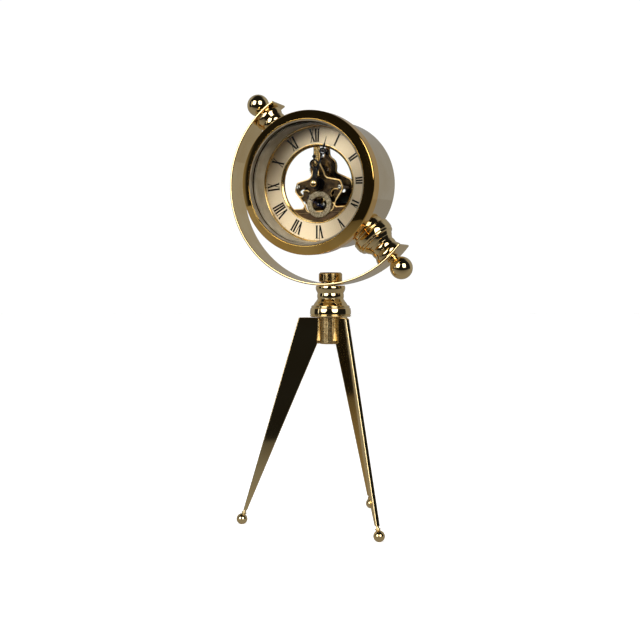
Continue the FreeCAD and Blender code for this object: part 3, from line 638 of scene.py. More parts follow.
# %% Roll the arm
ARM_WIDE = 24.0
ARM_SWEEP = 200.0
ARM_FROM = 170 - math.degrees(math.atan2(-spindle_axis.z, spindle_axis.x))


def arm_shape():
    bm = bmesh.new()
    start = math.radians(ARM_FROM)
    way = Vector((math.cos(start), 0, math.sin(start)))
    section = [bm.verts.new(way * radius + Vector((0, across, 0)))
               for radius, across in ((ARM_IN, -ARM_WIDE / 2), (ARM_OUT, -ARM_WIDE / 2),
                                      (ARM_OUT, ARM_WIDE / 2), (ARM_IN, ARM_WIDE / 2))]
    for here, there in zip(section, section[1:] + section[:1]):
        bm.edges.new((here, there))
    bmesh.ops.spin(bm, geom=bm.verts[:] + bm.edges[:], cent=(0, 0, 0), axis=(0, -1, 0),
                   angle=math.radians(ARM_SWEEP), steps=150, use_duplicate=False)
    bmesh.ops.holes_fill(bm, edges=bm.edges[:], sides=4)
    bmesh.ops.recalc_face_normals(bm, faces=bm.faces)
    break_edges(bm, 0.6, segments=4)
    return bm


place_piece("arm_band", arm_shape(), "arm", gold, ARM, ["arm"])

# %% [markdown]
# ## Drum
# The drum is a thin turned tube, open in front for the clock insert and closed behind by a
# pane of glass that a ring holds from inside. A rubber seal lines its mouth.

# %% Turn the drum, its glass and its rings
DRUM_R, DRUM_IN, DRUM_FRONT, DRUM_BACK = 47.3, 45.8, 33.0, 15.4
BEZEL_BACK = 28.6
turned("drum_case_turned", [
    (DRUM_IN, 2 - DRUM_BACK), (DRUM_R - 3, 2 - DRUM_BACK), (DRUM_R - 3, -DRUM_BACK),
    (DRUM_R - 0.4, -DRUM_BACK), (DRUM_R, 0.4 - DRUM_BACK), (DRUM_R, DRUM_FRONT),
    (DRUM_IN, DRUM_FRONT),
], "drum", "gold_plate", gold_wide, CLOCK, ["drum_case"], ease=0.2, steps=180)
turned("rear_glass_pane", [(0, -13.4), (44, -13.4), (44, -11.8), (0, -11.8)], "drum",
       "mineral_glass", glass, CLOCK, ["rear_glass"], closed=False, ease=0.2, steps=120)
turned("rear_glass_ring_turned", ring(42.0, DRUM_IN - 0.02, -11.8, -10.2), "drum", "gold_plate",
       gold, CLOCK, ["rear_glass_ring"], ease=0.2, steps=120)
turned("mouth_gasket_moulded", ring(45.2, DRUM_IN - 0.02, 25, 28), "drum", "rubber_seal", rubber,
       CLOCK, ["mouth_gasket"], ease=0.25, steps=120)

# %% [markdown]
# ## Bezel, glass and dial rings
# The bezel is a broad turned moulding. Its front is a shallow cone that rises to a crisp crest,
# and a lip inside holds the glass. Behind the glass a satin grey wall runs down to the dial,
# a fine gold rim frames the champagne chapter ring, and a sloped gold ring borders the opening
# to the movement.

# %% Turn the bezel and the rings
CREST = 41.5
GLASS_FACE = CREST - 4.2
DIAL = 20.0
turned("bezel_turned", [
    (47.6, BEZEL_BACK), (51.2, BEZEL_BACK), (51.5, BEZEL_BACK + 0.3), (51.5, CREST - 3.7, 1.4),
    (50.6, CREST - 2.55, 60.0), (45.1, CREST), (44.6, CREST - 0.25), (44.5, CREST - 0.6),
    (44.5, GLASS_FACE), (45.1, GLASS_FACE), (45.1, DRUM_FRONT + 0.4),
    (47.6, DRUM_FRONT + 0.4),
], "insert", "gold_plate", gold_rich, CLOCK, ["bezel"], ease=0.12, steps=200)
turned("lip_lined", ring(43.6, 44.48, GLASS_FACE + 0.02, CREST - 0.6), "insert", "grey_liner",
       grey_liner, CLOCK, steps=160)
turned("front_glass_pane", [(0, GLASS_FACE - 2), (45, GLASS_FACE - 2), (45, GLASS_FACE),
                            (0, GLASS_FACE)], "insert", "mineral_glass", glass, CLOCK,
       ["front_glass"], closed=False, ease=0.2, steps=120)
turned("carrier_ring_turned", ring(43.62, 45.08, DIAL - 3, GLASS_FACE - 2), "insert",
       "movement_brass", brass, CLOCK, ["carrier_ring"], steps=120)
turned("rehaut_lined", ring(42.2, 43.6, DIAL, GLASS_FACE - 2), "insert", "grey_liner",
       grey_liner, CLOCK, ["rehaut"], steps=160)
turned("dial_rim_turned", [
    (41.0, DIAL), (42.18, DIAL), (42.18, DIAL + 1.3), (41.9, DIAL + 1.4), (41.4, DIAL + 0.9),
    (41.2, DIAL + 0.5),
], "insert", "gold_plate", gold_rim, CLOCK, ["dial_rim"], ease=0.08, steps=160)
turned("chapter_ring_grained", ring(28.9, 43.6, DIAL - 1, DIAL), "insert", "dial_champagne",
       champagne, CLOCK, ["chapter_ring"], ease=0.1, steps=160)
turned("inner_ring_turned", [
    (26.8, DIAL - 2.6), (30.5, DIAL - 2.6), (30.5, DIAL - 1.0), (28.88, DIAL - 1.0),
    (28.88, DIAL + 0.3), (28.3, DIAL + 0.3), (28.0, DIAL - 0.1), (27.2, DIAL - 0.6),
    (26.8, DIAL - 1.2),
], "insert", "gold_plate", gold_rim, CLOCK, ["inner_ring"], ease=0.12, steps=160)

# %% [markdown]
# ## Numerals
# The hours are Roman numerals that stand with their feet towards the centre. Each letter is
# made of strokes, a broad one and a fine one, with fine serifs across their ends. The strokes
# are thin plates of black lacquer on the dial, so they stand out from it as printed ones do.

# %% Draw the numerals
NUMERAL_FOOT, NUMERAL_HIGH = 30.2, 9.6
BROAD, FINE, SERIF = 1.3, 0.55, 0.5
INK_THICK = 0.12
LETTER_WIDE = {"I": 1.9, "V": 4.0, "X": 4.1}
HOURS = {1: "I", 2: "II", 3: "III", 4: "IV", 5: "V", 6: "VI", 7: "VII", 8: "VIII", 9: "IX",
         10: "X", 11: "XI", 12: "XII"}


def stroke(bm, foot_x, head_x, width, low=0.0, high=NUMERAL_HIGH):
    """One straight stroke from its foot to its head, as a thin block."""
    made = block_of(bm, (width, high - low, INK_THICK), (0, (high + low) / 2, INK_THICK / 2))
    slope = (head_x - foot_x) / (high - low)
    for vertex in made:
        vertex.co.x += foot_x + slope * (vertex.co.y - low)
    return made


def letter(bm, kind):
    """I, V or X, standing on zero and centred."""
    if kind == "I":
        made = stroke(bm, 0, 0, BROAD)
        bars = [(0, 0, 1.8), (0, NUMERAL_HIGH, 1.8)]
    elif kind == "V":
        made = stroke(bm, 0.15, -1.3, BROAD) + stroke(bm, 0.15, 1.4, FINE)
        bars = [(-1.3, NUMERAL_HIGH, 1.8), (1.4, NUMERAL_HIGH, 1.3)]
    else:
        made = stroke(bm, 1.3, -1.3, BROAD) + stroke(bm, -1.3, 1.3, FINE)
        bars = [(-1.3, NUMERAL_HIGH, 1.8), (1.3, NUMERAL_HIGH, 1.3), (1.3, 0, 1.8),
                (-1.3, 0, 1.3)]
    for x, y, wide in bars:
        low = y if y == 0 else y - SERIF
        made += stroke(bm, x, x, wide, low, low + SERIF)
    return made


ink = bmesh.new()
for hour, word in HOURS.items():
    total = sum(LETTER_WIDE[kind] for kind in word)
    along = -total / 2
    for kind in word:
        middle = along + LETTER_WIDE[kind] / 2
        along += LETTER_WIDE[kind]
        made = letter(ink, kind)
        bmesh.ops.translate(ink, vec=(0, NUMERAL_FOOT, DIAL), verts=made)
        turn = -hour * 30 - math.degrees(middle / (NUMERAL_FOOT + NUMERAL_HIGH / 2))
        swing(ink, made, "Z", turn)
place_piece("numerals", ink, "insert", black, CLOCK)

# %% Scribe the minute track
TRACK_IN, TRACK_OUT = 40.25, 40.95
track = bmesh.new()
for minute in range(60):
    wide = 0.42 if minute % 5 == 0 else 0.2
    made = block_of(track, (wide, TRACK_OUT - TRACK_IN, INK_THICK),
                    (0, (TRACK_IN + TRACK_OUT) / 2, DIAL + INK_THICK / 2))
    swing(track, made, "Z", -minute * 6)
place_piece("minute_track", track, "insert", black, CLOCK)

# %% [markdown]
# ## Movement plates
# Two darkened brass plates hold the train between pillars. What catches the eye is not their
# faces but their bright bevelled edges, so the saw gives the bevels a burnished material of
# their own. A narrow raised trim follows each plate's edge, and a round stem stands at twelve.

# %% Saw the plates and the bridge
PLATE_FRONT, PLATE_THICK, PLATE_GAP = 17.0, 1.4, 17.0
FRONT_LEVEL = PLATE_FRONT - PLATE_THICK
REAR_FACE = FRONT_LEVEL - PLATE_GAP
REAR_LEVEL = REAR_FACE - PLATE_THICK
SECONDS_DROP = 15.0
MOTION_Y = 11.52
BUSH_R = 4.8
PLATE_ROUND, PLATE_EASE, TRIM_WIDE = 2.1, 0.55, 0.8
PLATED = [plate_brass, bright_edge]
PILLARS = ((0.0, 24.8), (16.4, -3.4), (-16.6, -1.4))
third = CLOCK.inverted() @ Vector(joints["third_turn"]["pos_m"]) / MM
front_half = [(2.2, 27.6), (2.2, 14.0), (4.6, 9.5), (6.0, 4.6), (17.6, 1.8), (19.4, -4.6),
              (13.2, -13.0), (10.4, -20.4)]
rear_half = [(2.2, 27.6), (2.2, 21.0), (6.4, 18.0), (7.6, 13.5), (6.4, 9.0), (18.6, 3.0),
             (20.4, -9.0), (17.0, -17.5), (10.4, -20.4)]
arbor_holes = [(0, MOTION_Y, 0.7), (third.x, third.y, 0.7), (0, -SECONDS_DROP, 0.7)]
front_windows = [[(-15.6, -4.6), (-9.2, -1.2), (-8.2, -3.0), (-11.2, -5.2), (-12.0, -8.6)],
                 [(12.2, -4.6), (9.2, -3.2), (8.4, -6.2), (10.4, -9.6), (12.0, -8.6)]]
place_piece("front_plate_sawn", saw_shape(
    mirrored(front_half), FRONT_LEVEL, PLATE_FRONT, rounds=PLATE_ROUND, windows=front_windows,
    holes=[(0, 0, BUSH_R + 0.02)] + arbor_holes, ease=PLATE_EASE, edge_material=1),
    "insert", PLATED, CLOCK, ["front_plate"])
place_piece("rear_plate_sawn", saw_shape(
    mirrored(rear_half), REAR_LEVEL, REAR_FACE, rounds=PLATE_ROUND,
    holes=[(0, 0, 1.06), (11.6, -4.9, 1.6)] + arbor_holes, ease=PLATE_EASE, edge_material=1),
    "insert", PLATED, CLOCK, ["rear_plate"])
place_piece("top_bridge_sawn", saw_shape(
    [(-3, 27.6), (3, 27.6), (3, 30.2), (-3, 30.2)], FRONT_LEVEL, DIAL - 2.6, rounds=0.6,
    ease=0.25, edge_material=1), "insert", PLATED, CLOCK, ["top_bridge"])


def trim_shape(outline, low, high):
    """A narrow frame that follows the edge of a plate."""
    bm = bmesh.new()
    corners = [bm.verts.new((x, y, low)) for x, y in outline]
    bm.faces.new(corners)
    round_corners(bm, corners, PLATE_ROUND)
    band = bmesh.ops.inset_region(bm, faces=bm.faces[:], thickness=TRIM_WIDE,
                                  use_boundary=True, use_even_offset=True)["faces"]
    bmesh.ops.delete(bm, geom=[face for face in bm.faces if face not in band],
                     context="FACES")
    pull_up(bm, bm.faces[:], high - low)
    bmesh.ops.recalc_face_normals(bm, faces=bm.faces)
    break_edges(bm, 0.16, segments=2)
    return bm


for name, half, level in (("front", front_half, PLATE_FRONT), ("rear", rear_half, REAR_FACE)):
    place_piece(f"{name}_plate_trim", trim_shape(mirrored(half), level - 0.02, level + 0.4),
                "insert", bright_edge, CLOCK)
stem = turn_shape([(0, 5.4), (1.15, 5.4), (1.3, 5.7), (1.3, 26.2), (1.15, 26.5), (0, 26.5)],
                  closed=False, ease=0.1, steps=32)
place_piece("plate_stem", stem, "insert", gold_rim,
            CLOCK @ shift(0, 0, PLATE_FRONT + 0.25) @ turn_about("X", -90))

# %% Turn the pillars, screws and centre bush


def join_turned(name, makers, material, node):
    """Several turned bits of the movement as one piece: each maker is (points, x, y)."""
    whole = bmesh.new()
    for points, x, y in makers:
        part = turn_shape(points, closed=False, ease=0.1, steps=32)
        bmesh.ops.translate(part, vec=(x, y, 0), verts=part.verts)
        merge_into(whole, part)
    place_piece(name, whole, "insert", material, CLOCK, [node])


pillar = [(0, REAR_FACE), (1.9, REAR_FACE), (1.9, REAR_FACE + 1.5), (1.3, REAR_FACE + 2.2),
          (1.3, FRONT_LEVEL - 2.2), (1.9, FRONT_LEVEL - 1.5), (1.9, FRONT_LEVEL),
          (0, FRONT_LEVEL)]
join_turned("pillars_turned", [(pillar, x, y) for x, y in PILLARS], brass,
            "movement_pillars")


def screw_head(level, way):
    return [(0, level), (1.75, level), (1.75, level + 0.5 * way, 1.2 * way),
            (1.2, level + 0.88 * way), (0.45, level + 0.9 * way), (0.4, level + 0.6 * way),
            (0, level + 0.6 * way)]


join_turned("screws_turned", [(screw_head(level, way), x, y) for x, y in PILLARS
                              for level, way in ((PLATE_FRONT, 1), (REAR_LEVEL, -1))],
            steel, "movement_screws")
turned("centre_bush_turned", [
    (2.26, FRONT_LEVEL), (BUSH_R, FRONT_LEVEL), (BUSH_R, PLATE_FRONT + 0.8),
    (3.8, PLATE_FRONT + 2.6), (2.26, PLATE_FRONT + 2.6),
], "insert", "dark_moulding", black, CLOCK, ["centre_bush"], steps=64)

# %% [markdown]
# ## Seconds ring and battery bay
# A frosted ring below the centre carries the seconds. Behind it the bronze battery bay crosses
# the lower part of the opening. An apron stands on each side of the ring in front of the bay,
# and a bright strip along its top draws the line that crosses the opening.

# %% Make the seconds ring and the bay
turned("seconds_ring_turned", [
    (5.6, PLATE_FRONT), (9.75, PLATE_FRONT), (9.75, PLATE_FRONT + 0.9),
    (9.3, PLATE_FRONT + 1.2), (6.1, PLATE_FRONT + 1.2), (5.6, PLATE_FRONT + 0.8),
], "insert", "dial_champagne", speckled, on_dial(0, -SECONDS_DROP), ["seconds_ring"],
    ease=0.15, steps=96)
BOX_TOP, BOX_BACK, BOX_DEEP, BOX_HIGH, BOX_HALF = -20.4, 3.0, 13.9, 15.8, 26.8
BOX_WALL, BOX_FLOOR = 0.65, 0.6
BRONZED = [dark_moulding, bright_edge]


def bay_shape():
    """A block, hollowed from behind."""
    bm = bmesh.new()
    block_of(bm, (BOX_HALF * 2, BOX_HIGH, BOX_DEEP),
             (0, BOX_TOP - BOX_HIGH / 2, BOX_BACK + BOX_DEEP / 2))
    back = min(bm.faces, key=lambda face: face.calc_center_median().z)
    bmesh.ops.inset_region(bm, faces=[back], thickness=BOX_WALL)
    pull_up(bm, [back], BOX_DEEP - BOX_FLOOR)
    bmesh.ops.delete(bm, geom=[back], context="FACES_KEEP_BOUNDARY")
    bmesh.ops.recalc_face_normals(bm, faces=bm.faces)
    for face in break_edges(bm, 0.4, segments=2):
        face.material_index = 1
    return bm


place_piece("battery_bay", bay_shape(), "insert", BRONZED, CLOCK,
            ["battery_box"])
apron = [(13.4, -17.2), (21.8, -17.2), (21.8, -20.8), (8.4, -20.8), (10.3, -17.2),
         (11.0, -13.8)]
apron_edge = [(13.4, -17.2), (21.8, -17.2), (21.8, -17.9), (13.0, -17.9), (10.4, -14.2),
              (11.0, -13.8)]
for hand, side in ((-1, "left"), (1, "right")):
    place_piece(f"bay_apron_{side}", saw_shape(
        [(x * hand, y) for x, y in apron], PLATE_FRONT + 0.02, PLATE_FRONT + 0.37, rounds=0.4,
        ease=0.12, edge_material=1), "insert", BRONZED, CLOCK)
    place_piece(f"bay_apron_edge_{side}", saw_shape(
        [(x * hand, y) for x, y in apron_edge], PLATE_FRONT + 0.3, PLATE_FRONT + 0.62,
        ease=0.1), "insert", bright_edge, CLOCK)
CELL_R, CELL_LONG = 7.1, 50.2
turned("cell", [
    (0, 0), (CELL_R - 0.3, 0), (CELL_R, 0.3), (CELL_R, CELL_LONG - 2.0),
    (CELL_R - 0.6, CELL_LONG - 1.3), (3.0, CELL_LONG - 1.3), (2.7, CELL_LONG - 1.1),
    (2.6, CELL_LONG), (0, CELL_LONG),
], "insert", "cell_jacket", sleeve, CLOCK @ shift(-CELL_LONG / 2, BOX_TOP - 7.9,
                                                 BOX_BACK + 6.15) @ turn_about("Y", 90),
    ["battery"], closed=False, steps=64)

# %% [markdown]
# ## Hands
# The hour and minute hands are pierced steel in gloss black: a round hub, a shaped shaft, an
# open moon and a fine tip. A domed gold cap holds them. The seconds hand is heat-blued.

# %% Saw the hands
HOUR_LEVEL, MINUTE_LEVEL, SECONDS_LEVEL = 23.6, 25.4, 18.8
HAND_THICK = 0.7
HOUR_TURN, MINUTE_TURN, SECONDS_TURN = -1.6, -19.8, 59.0


def add_ring(bm, y, outer, inner, level, thick):
    """A flat ring, for a hub or a moon."""
    part = turn_shape(ring(inner, outer, level, level + thick), ease=0.12, steps=40)
    bmesh.ops.translate(part, vec=(0, y, 0), verts=part.verts)
    merge_into(bm, part)


def hand_shape(level, bore, hub, shaft, moon, tip, extras=()):
    """shaft, tip and extras are right halves of outlines; moon is (middle, outer, inner)."""
    bm = bmesh.new()
    add_ring(bm, 0, hub, bore, level, HAND_THICK)
    add_ring(bm, moon[0], moon[1], moon[2], level, HAND_THICK)
    for half in (shaft, tip, *extras):
        merge_into(bm, saw_shape(mirrored(half), level + 0.02, level + HAND_THICK - 0.02,
                                 ease=0.1))
    return bm


place_piece("hour_hand_pierced", hand_shape(
    HOUR_LEVEL, 2.2, 3.8,
    [(0.9, 10.6), (1.9, 9.9), (1.2, 9.0), (1.6, 6.0), (1.2, 4.6), (1.7, 3.2)],
    (14.0, 3.6, 2.4),
    [(0.12, 28.4), (0.28, 22.0), (0.45, 20.9), (1.6, 19.4), (0.7, 18.3), (0.6, 17.2)],
    extras=([(0.25, 16.6), (0.25, 14.6), (1.5, 13.9), (1.2, 13.2), (0.35, 13.6),
             (0.5, 11.4)],)),
    "hour", black, on_dial(0, 0, HOUR_TURN), ["hour_hand"])
place_piece("minute_hand_pierced", hand_shape(
    MINUTE_LEVEL, 1.0, 3.0,
    [(0.5, 21.8), (1.0, 20.6), (0.45, 19.4), (0.8, 10.0), (0.8, 2.6)],
    (24.0, 2.6, 1.6),
    [(0.12, 34.8), (0.3, 30.0), (1.2, 28.0), (0.5, 26.9), (0.5, 26.4)],
    extras=([(0.22, 25.8), (0.22, 24.6), (0.9, 24.0), (0.25, 23.5), (0.25, 22.2)],)),
    "minute", black, on_dial(0, 0, MINUTE_TURN), ["minute_hand"])
CAP_FOOT = MINUTE_LEVEL + HAND_THICK
turned("hand_cap_turned", [
    (1.0, CAP_FOOT), (2.5, CAP_FOOT), (2.65, CAP_FOOT + 0.5, 2.75), (0.0, CAP_FOOT + 2.2),
    (0, CAP_FOOT + 0.9), (1.0, CAP_FOOT + 0.9),
], "minute", "gold_plate", gold, CLOCK, ["hand_cap"], ease=0.08, steps=48)
seconds_bm = bmesh.new()
add_ring(seconds_bm, 0, 1.5, 0.5, SECONDS_LEVEL, 0.4)
for half in ([(0.12, 10.6), (0.34, 1.3)], [(0.4, -1.2), (0.85, -4.2)]):
    merge_into(seconds_bm, saw_shape(mirrored(half), SECONDS_LEVEL + 0.02,
                                     SECONDS_LEVEL + 0.38, ease=0.06))
place_piece("seconds_hand_blued", seconds_bm, "seconds", blued,
            on_dial(0, -SECONDS_DROP, SECONDS_TURN), ["seconds_hand"])

# %% [markdown]
# ## Springs on the plate
# Small curved springs lie on the front plate, and they glint round the seconds ring. Each is a
# thin round wire swept part of a turn.

# %% Bend the springs


def wire_arc(x, y, radius, wire, start, sweep, level):
    """A round wire bent along an arc of the plate."""
    bm = bmesh.new()
    made = bmesh.ops.create_circle(bm, cap_ends=True, segments=12, radius=wire)["verts"]
    swing(bm, made, "X", 90)
    bmesh.ops.translate(bm, vec=(radius, 0, 0), verts=made)
    bmesh.ops.spin(bm, geom=bm.verts[:] + bm.edges[:] + bm.faces[:], cent=(0, 0, 0),
                   axis=(0, 0, 1), angle=math.radians(sweep), steps=24, use_duplicate=False)
    bmesh.ops.holes_fill(bm, edges=bm.edges[:], sides=12)
    swing(bm, bm.verts, "Z", start)
    bmesh.ops.translate(bm, vec=(x, y, level), verts=bm.verts)
    return bm


springs = bmesh.new()
SPRING_LEVEL = PLATE_FRONT + 0.45
for x, y, radius, start, sweep in ((13.4, -8.4, 4.0, 60, 110), (-10.2, -7.4, 3.2, 40, 100),
                                   (-14.4, -6.4, 2.2, 230, 100), (0.6, -12.0, 3.2, -10, 130)):
    merge_into(springs, wire_arc(x, y, radius, 0.42, start, sweep, SPRING_LEVEL))
place_piece("plate_springs", springs, "insert", bright_edge, CLOCK)

# %% [markdown]
# ## The pieces that stay as they were packed
# Wheels, arbors, rods, nuts and the small electrical parts already have their true shape.
# They only need their finish.

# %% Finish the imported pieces
KEPT = {
    brass: ["centre_wheel", "third_wheel", "minute_wheel", "hour_wheel"],
    steel: ["third_arbor", "seconds_arbor", "motion_arbor", "minute_arbor", "clamp_stud",
            "tie_rod_upper", "tie_rod_lower", "hub_nut_and_washer", "battery_contacts",
            "drive_core"],
    gold: ["clamp_washer"],
    black: ["set_knob"],
    laminate: ["circuit_board"],
    copper: ["drive_coil"],
}


def give_material(holder, material):
    holder.data.materials.clear()
    holder.data.materials.append(material)


for material, names in KEPT.items():
    for name in names:
        give_material(frame["nodes"][name], material)
for node_object in frame["nodes"].values():
    if node_object.hide_render:
        give_material(node_object, brass)
print("packed pieces kept:", sum(len(names) for names in KEPT.values()))

# %% [markdown]
# ## Camera
# The camera stands about 0.81 m away, to the right of the clock and level, with a long lens.
# The lens is shifted a little, so that the clock stands in the middle of the frame while its
# uprights stay parallel.

# %% Stand the camera
CAMERA_BEARING = math.radians(20.84)
CAMERA_FAR, CAMERA_HIGH, CAMERA_ASIDE = 0.808, 0.177, 0.0078
LENS_MM, LENS_SHIFT = 61.3, -0.0545
to_camera = Vector((math.sin(CAMERA_BEARING), -math.cos(CAMERA_BEARING), 0))
to_right = Vector((math.cos(CAMERA_BEARING), math.sin(CAMERA_BEARING), 0))
camera_data = bpy.data.cameras.new("camera")
camera_data.lens = LENS_MM
camera_data.sensor_width = 36.0
camera_data.shift_y = LENS_SHIFT
camera_data.clip_start = 0.01
camera = bpy.data.objects.new("camera", camera_data)
bpy.context.scene.collection.objects.link(camera)
camera.location = (to_camera * CAMERA_FAR - to_right * CAMERA_ASIDE
                   + Vector((0, 0, CAMERA_HIGH)))
camera.rotation_euler = (math.pi / 2, 0, CAMERA_BEARING)
bpy.context.scene.camera = camera

# %% [markdown]
# ## Studio
# Polished gold shows the room more than itself. The room here is dark on the camera's side
# and overhead, with two soft boxes and a narrow strip of light, and grey on the far side. A
# table that only reflections see lights the undersides. The camera sees a plain pale floor
# and backdrop, also through the glass.

# %% The room as the gold sees it


def bearing_way(azimuth, elevation):
    """A direction, from its degrees right of the camera and above the horizon."""
    azimuth, elevation = math.radians(azimuth), math.radians(elevation)
    flat = to_camera * math.cos(azimuth) + to_right * math.sin(azimuth)
    return flat * math.cos(elevation) + Vector((0, 0, math.sin(elevation)))


world = bpy.data.worlds.new("room")
bpy.context.scene.world = world
world.use_nodes = True
sky = world.node_tree
sky.nodes.clear()
looking = put(sky, "ShaderNodeTexCoord").outputs["Generated"]
ADD, SUBTRACT = {"operation": "ADD"}, {"operation": "SUBTRACT"}
TIMES, OVER = {"operation": "MULTIPLY"}, {"operation": "DIVIDE"}
MOST, LEAST = {"operation": "MAXIMUM"}, {"operation": "MINIMUM"}
DOT, SMOOTH = {"operation": "DOT_PRODUCT"}, {"interpolation_type": "SMOOTHSTEP"}
SQUARENESS = 3.5


def soft_box(azimuth, elevation, half_wide, half_high):
    """1 inside a round-cornered window of the room, fading to 0 outside it."""
    middle = bearing_way(azimuth, elevation)
    across = Vector((0, 0, 1)).cross(middle).normalized()
    ahead = put(sky, VECTOR_MATH, DOT, _0=looking, _1=middle).outputs["Value"]
    depth = put(sky, MATH, MOST, _0=ahead, _1=0.01)
    shares = []
    for way, half in ((across, half_wide), (middle.cross(across), half_high)):
        aside = put(sky, VECTOR_MATH, DOT, _0=looking, _1=way).outputs["Value"]
        share = put(sky, MATH, OVER, _0=aside, _1=depth)
        share = put(sky, MATH, {"operation": "ABSOLUTE"}, _0=share)
        share = put(sky, MATH, OVER, _0=share, _1=math.tan(math.radians(half)))
        shares.append(put(sky, MATH, {"operation": "POWER"}, _0=share, _1=SQUARENESS))
    total = put(sky, MATH, ADD, _0=shares[0], _1=shares[1])
    inside = put(sky, RANGE, SMOOTH, Value=total, From_Min=1.5, From_Max=0.6)
    in_front = put(sky, RANGE, SMOOTH, Value=ahead, From_Min=0.0, From_Max=0.05)
    return put(sky, MATH, TIMES, _0=inside, _1=in_front)


BOX_LIGHT, SIDE_LIGHT, DARK_LIGHT, BACKDROP_LIGHT = 4.2, 0.31, 0.012, 1.04
# The level share of a direction, and how far round it turns towards the camera.
height = put(sky, VECTOR_MATH, DOT, _0=looking, _1=(0, 0, 1)).outputs["Value"]
height_squared = put(sky, MATH, TIMES, _0=height, _1=height)
level_squared = put(sky, MATH, SUBTRACT, _0=1.0, _1=height_squared)
level_squared = put(sky, MATH, MOST, _0=level_squared, _1=0.0001)
level = put(sky, MATH, {"operation": "SQRT"}, _0=level_squared)
towards = put(sky, VECTOR_MATH, DOT, _0=looking, _1=bearing_way(-4, 0)).outputs["Value"]
facing = put(sky, MATH, OVER, _0=towards, _1=level)
# The far side is grey, up to near the zenith.
far_side = put(sky, RANGE, SMOOTH, Value=facing, From_Min=-0.08, From_Max=-0.24)
below_top = put(sky, RANGE, SMOOTH, Value=height, From_Min=0.95, From_Max=0.72)
side = put(sky, MATH, TIMES, _0=far_side, _1=below_top)
side = put(sky, MATH, TIMES, _0=side, _1=SIDE_LIGHT)
room_light = put(sky, MATH, ADD, _0=side, _1=DARK_LIGHT)
for azimuth, elevation, half_wide, half_high, share in (
        (-40.5, 22, 16, 19, 1.0), (24.5, 22, 15.5, 19, 1.0), (-72, 14, 3, 16, 0.3)):
    glare = put(sky, MATH, TIMES, _0=soft_box(azimuth, elevation, half_wide, half_high),
                _1=BOX_LIGHT * share)
    room_light = put(sky, MATH, ADD, _0=room_light, _1=glare)
# The camera sees the backdrop, straight on and through glass that nothing was mirrored in.
path = put(sky, "ShaderNodeLightPath").outputs
bounced = put(sky, MATH, ADD, _0=path["Glossy Depth"], _1=path["Diffuse Depth"])
bounced = put(sky, MATH, LEAST, _0=bounced, _1=1.0)
straight = put(sky, MATH, SUBTRACT, _0=1.0, _1=bounced)
through_glass = put(sky, MATH, TIMES, _0=path["Is Transmission Ray"], _1=straight)
seen = put(sky, MATH, MOST, _0=path["Is Camera Ray"], _1=through_glass)
strength = put(sky, MIX, {"data_type": "FLOAT"}, _0=seen, _2=room_light, _3=BACKDROP_LIGHT)
background = put(sky, "ShaderNodeBackground", Color=(1, 1, 1, 1), Strength=strength)
put(sky, "ShaderNodeOutputWorld", Surface=background)
world.cycles.sampling_method = "MANUAL"
world.cycles.sample_map_resolution = 512

# %% The floor that the camera sees and the table that the gold sees


def stage_plane(name, half_wide, half_deep, middle, height_m, surface):
    bm = bmesh.new()
    bmesh.ops.create_grid(bm, x_segments=1, y_segments=1, size=1.0)
    bmesh.ops.scale(bm, vec=(half_wide, half_deep, 1), verts=bm.verts)
    bmesh.ops.rotate(bm, cent=(0, 0, 0), matrix=Matrix.Rotation(CAMERA_BEARING, 3, "Z"),
                     verts=bm.verts)
    bmesh.ops.translate(bm, vec=(middle.x, middle.y, height_m), verts=bm.verts)
    plane = to_object(name, bm)
    give_material(plane, surface)
    return plane


def hide_from(plane, *rays):
    for ray in rays:
        setattr(plane, f"visible_{ray}", False)


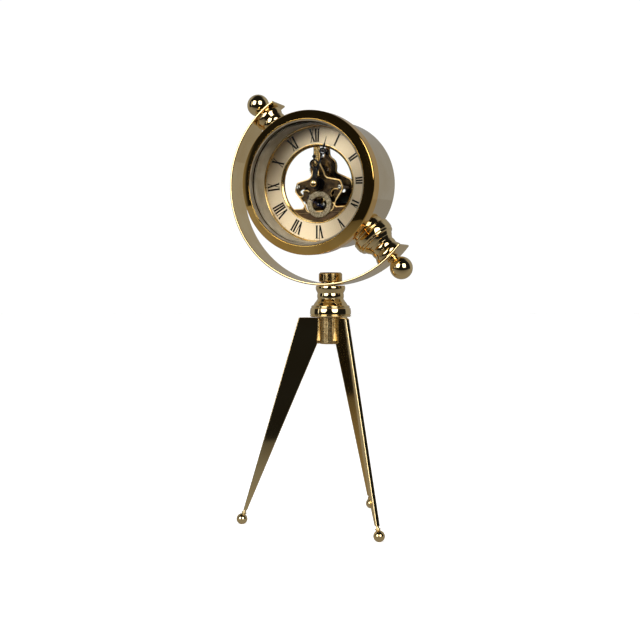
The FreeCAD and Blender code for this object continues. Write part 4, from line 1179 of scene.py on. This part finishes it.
PAPER_GLOW = 0.62
floor_material, tree = start_material("floor_paper")
paper_place = put(tree, "ShaderNodeTexCoord").outputs["Object"]
fibres = put(tree, NOISE, Vector=paper_place, Scale=per_mm(2.0), Detail=2.0)
paper_tone = put(tree, MIX, COLOURS, _0=fibres, _6=linear("f6f5f3"), _7=linear("f2f1ee"))
paper = put(tree, PRINCIPLED, Base_Color=paper_tone.outputs[2], Roughness=0.9,
            Emission_Color=(1, 1, 1, 1), Emission_Strength=PAPER_GLOW)
put(tree, OUTPUT, Surface=paper)
floor = stage_plane("floor", 6.0, 6.0, Vector((0, 0, 0)), 0.0, floor_material)
hide_from(floor, "glossy", "diffuse", "transmission")

TABLE_FRONT, TABLE_NEAR_LIGHT, TABLE_FAR_LIGHT = 0.44, 0.29, 0.1
table_material, tree = start_material("table_glow")
spot = put(tree, "ShaderNodeNewGeometry").outputs["Position"]
forward = put(tree, VECTOR_MATH, DOT, _0=spot, _1=to_camera).outputs["Value"]
glow = put(tree, RANGE, Value=forward, From_Min=0.06, From_Max=TABLE_FRONT,
           To_Min=TABLE_NEAR_LIGHT, To_Max=TABLE_FAR_LIGHT)
lamp = put(tree, "ShaderNodeEmission", Color=linear("fbf8f4"), Strength=glow)
put(tree, OUTPUT, Surface=lamp)
table = stage_plane("table_in_reflections", 1.6, 1.2 + TABLE_FRONT / 2,
                    to_camera * (TABLE_FRONT / 2 - 1.2), -0.0004, table_material)
hide_from(table, "camera", "diffuse", "shadow", "transmission")

# %% Soft lamps


def soft_lamp(name, azimuth, elevation, far, size_m, watts):
    """A square lamp that looks at the clock and is not mirrored in it."""
    data = bpy.data.lights.new(name, "AREA")
    data.size = size_m
    data.energy = watts
    lamp_object = bpy.data.objects.new(name, data)
    bpy.context.scene.collection.objects.link(lamp_object)
    way = bearing_way(azimuth, elevation)
    target = Vector((0, 0, 0.16))
    lamp_object.location = target + way * far
    lamp_object.rotation_euler = (-way).to_track_quat("-Z", "Y").to_euler()
    lamp_object.visible_glossy = False


soft_lamp("top_lamp", 0, 78, 1.3, 1.2, 6)
soft_lamp("left_lamp", -50, 35, 1.2, 0.7, 2)
soft_lamp("right_lamp", 40, 30, 1.2, 0.7, 1.5)
bpy.context.scene.view_settings.view_transform = "Standard"

# %% [markdown]
# ## Finish
# The last cell prints how many new pieces were made.

# %% Count the new pieces
print(len(piece_count), "new pieces")
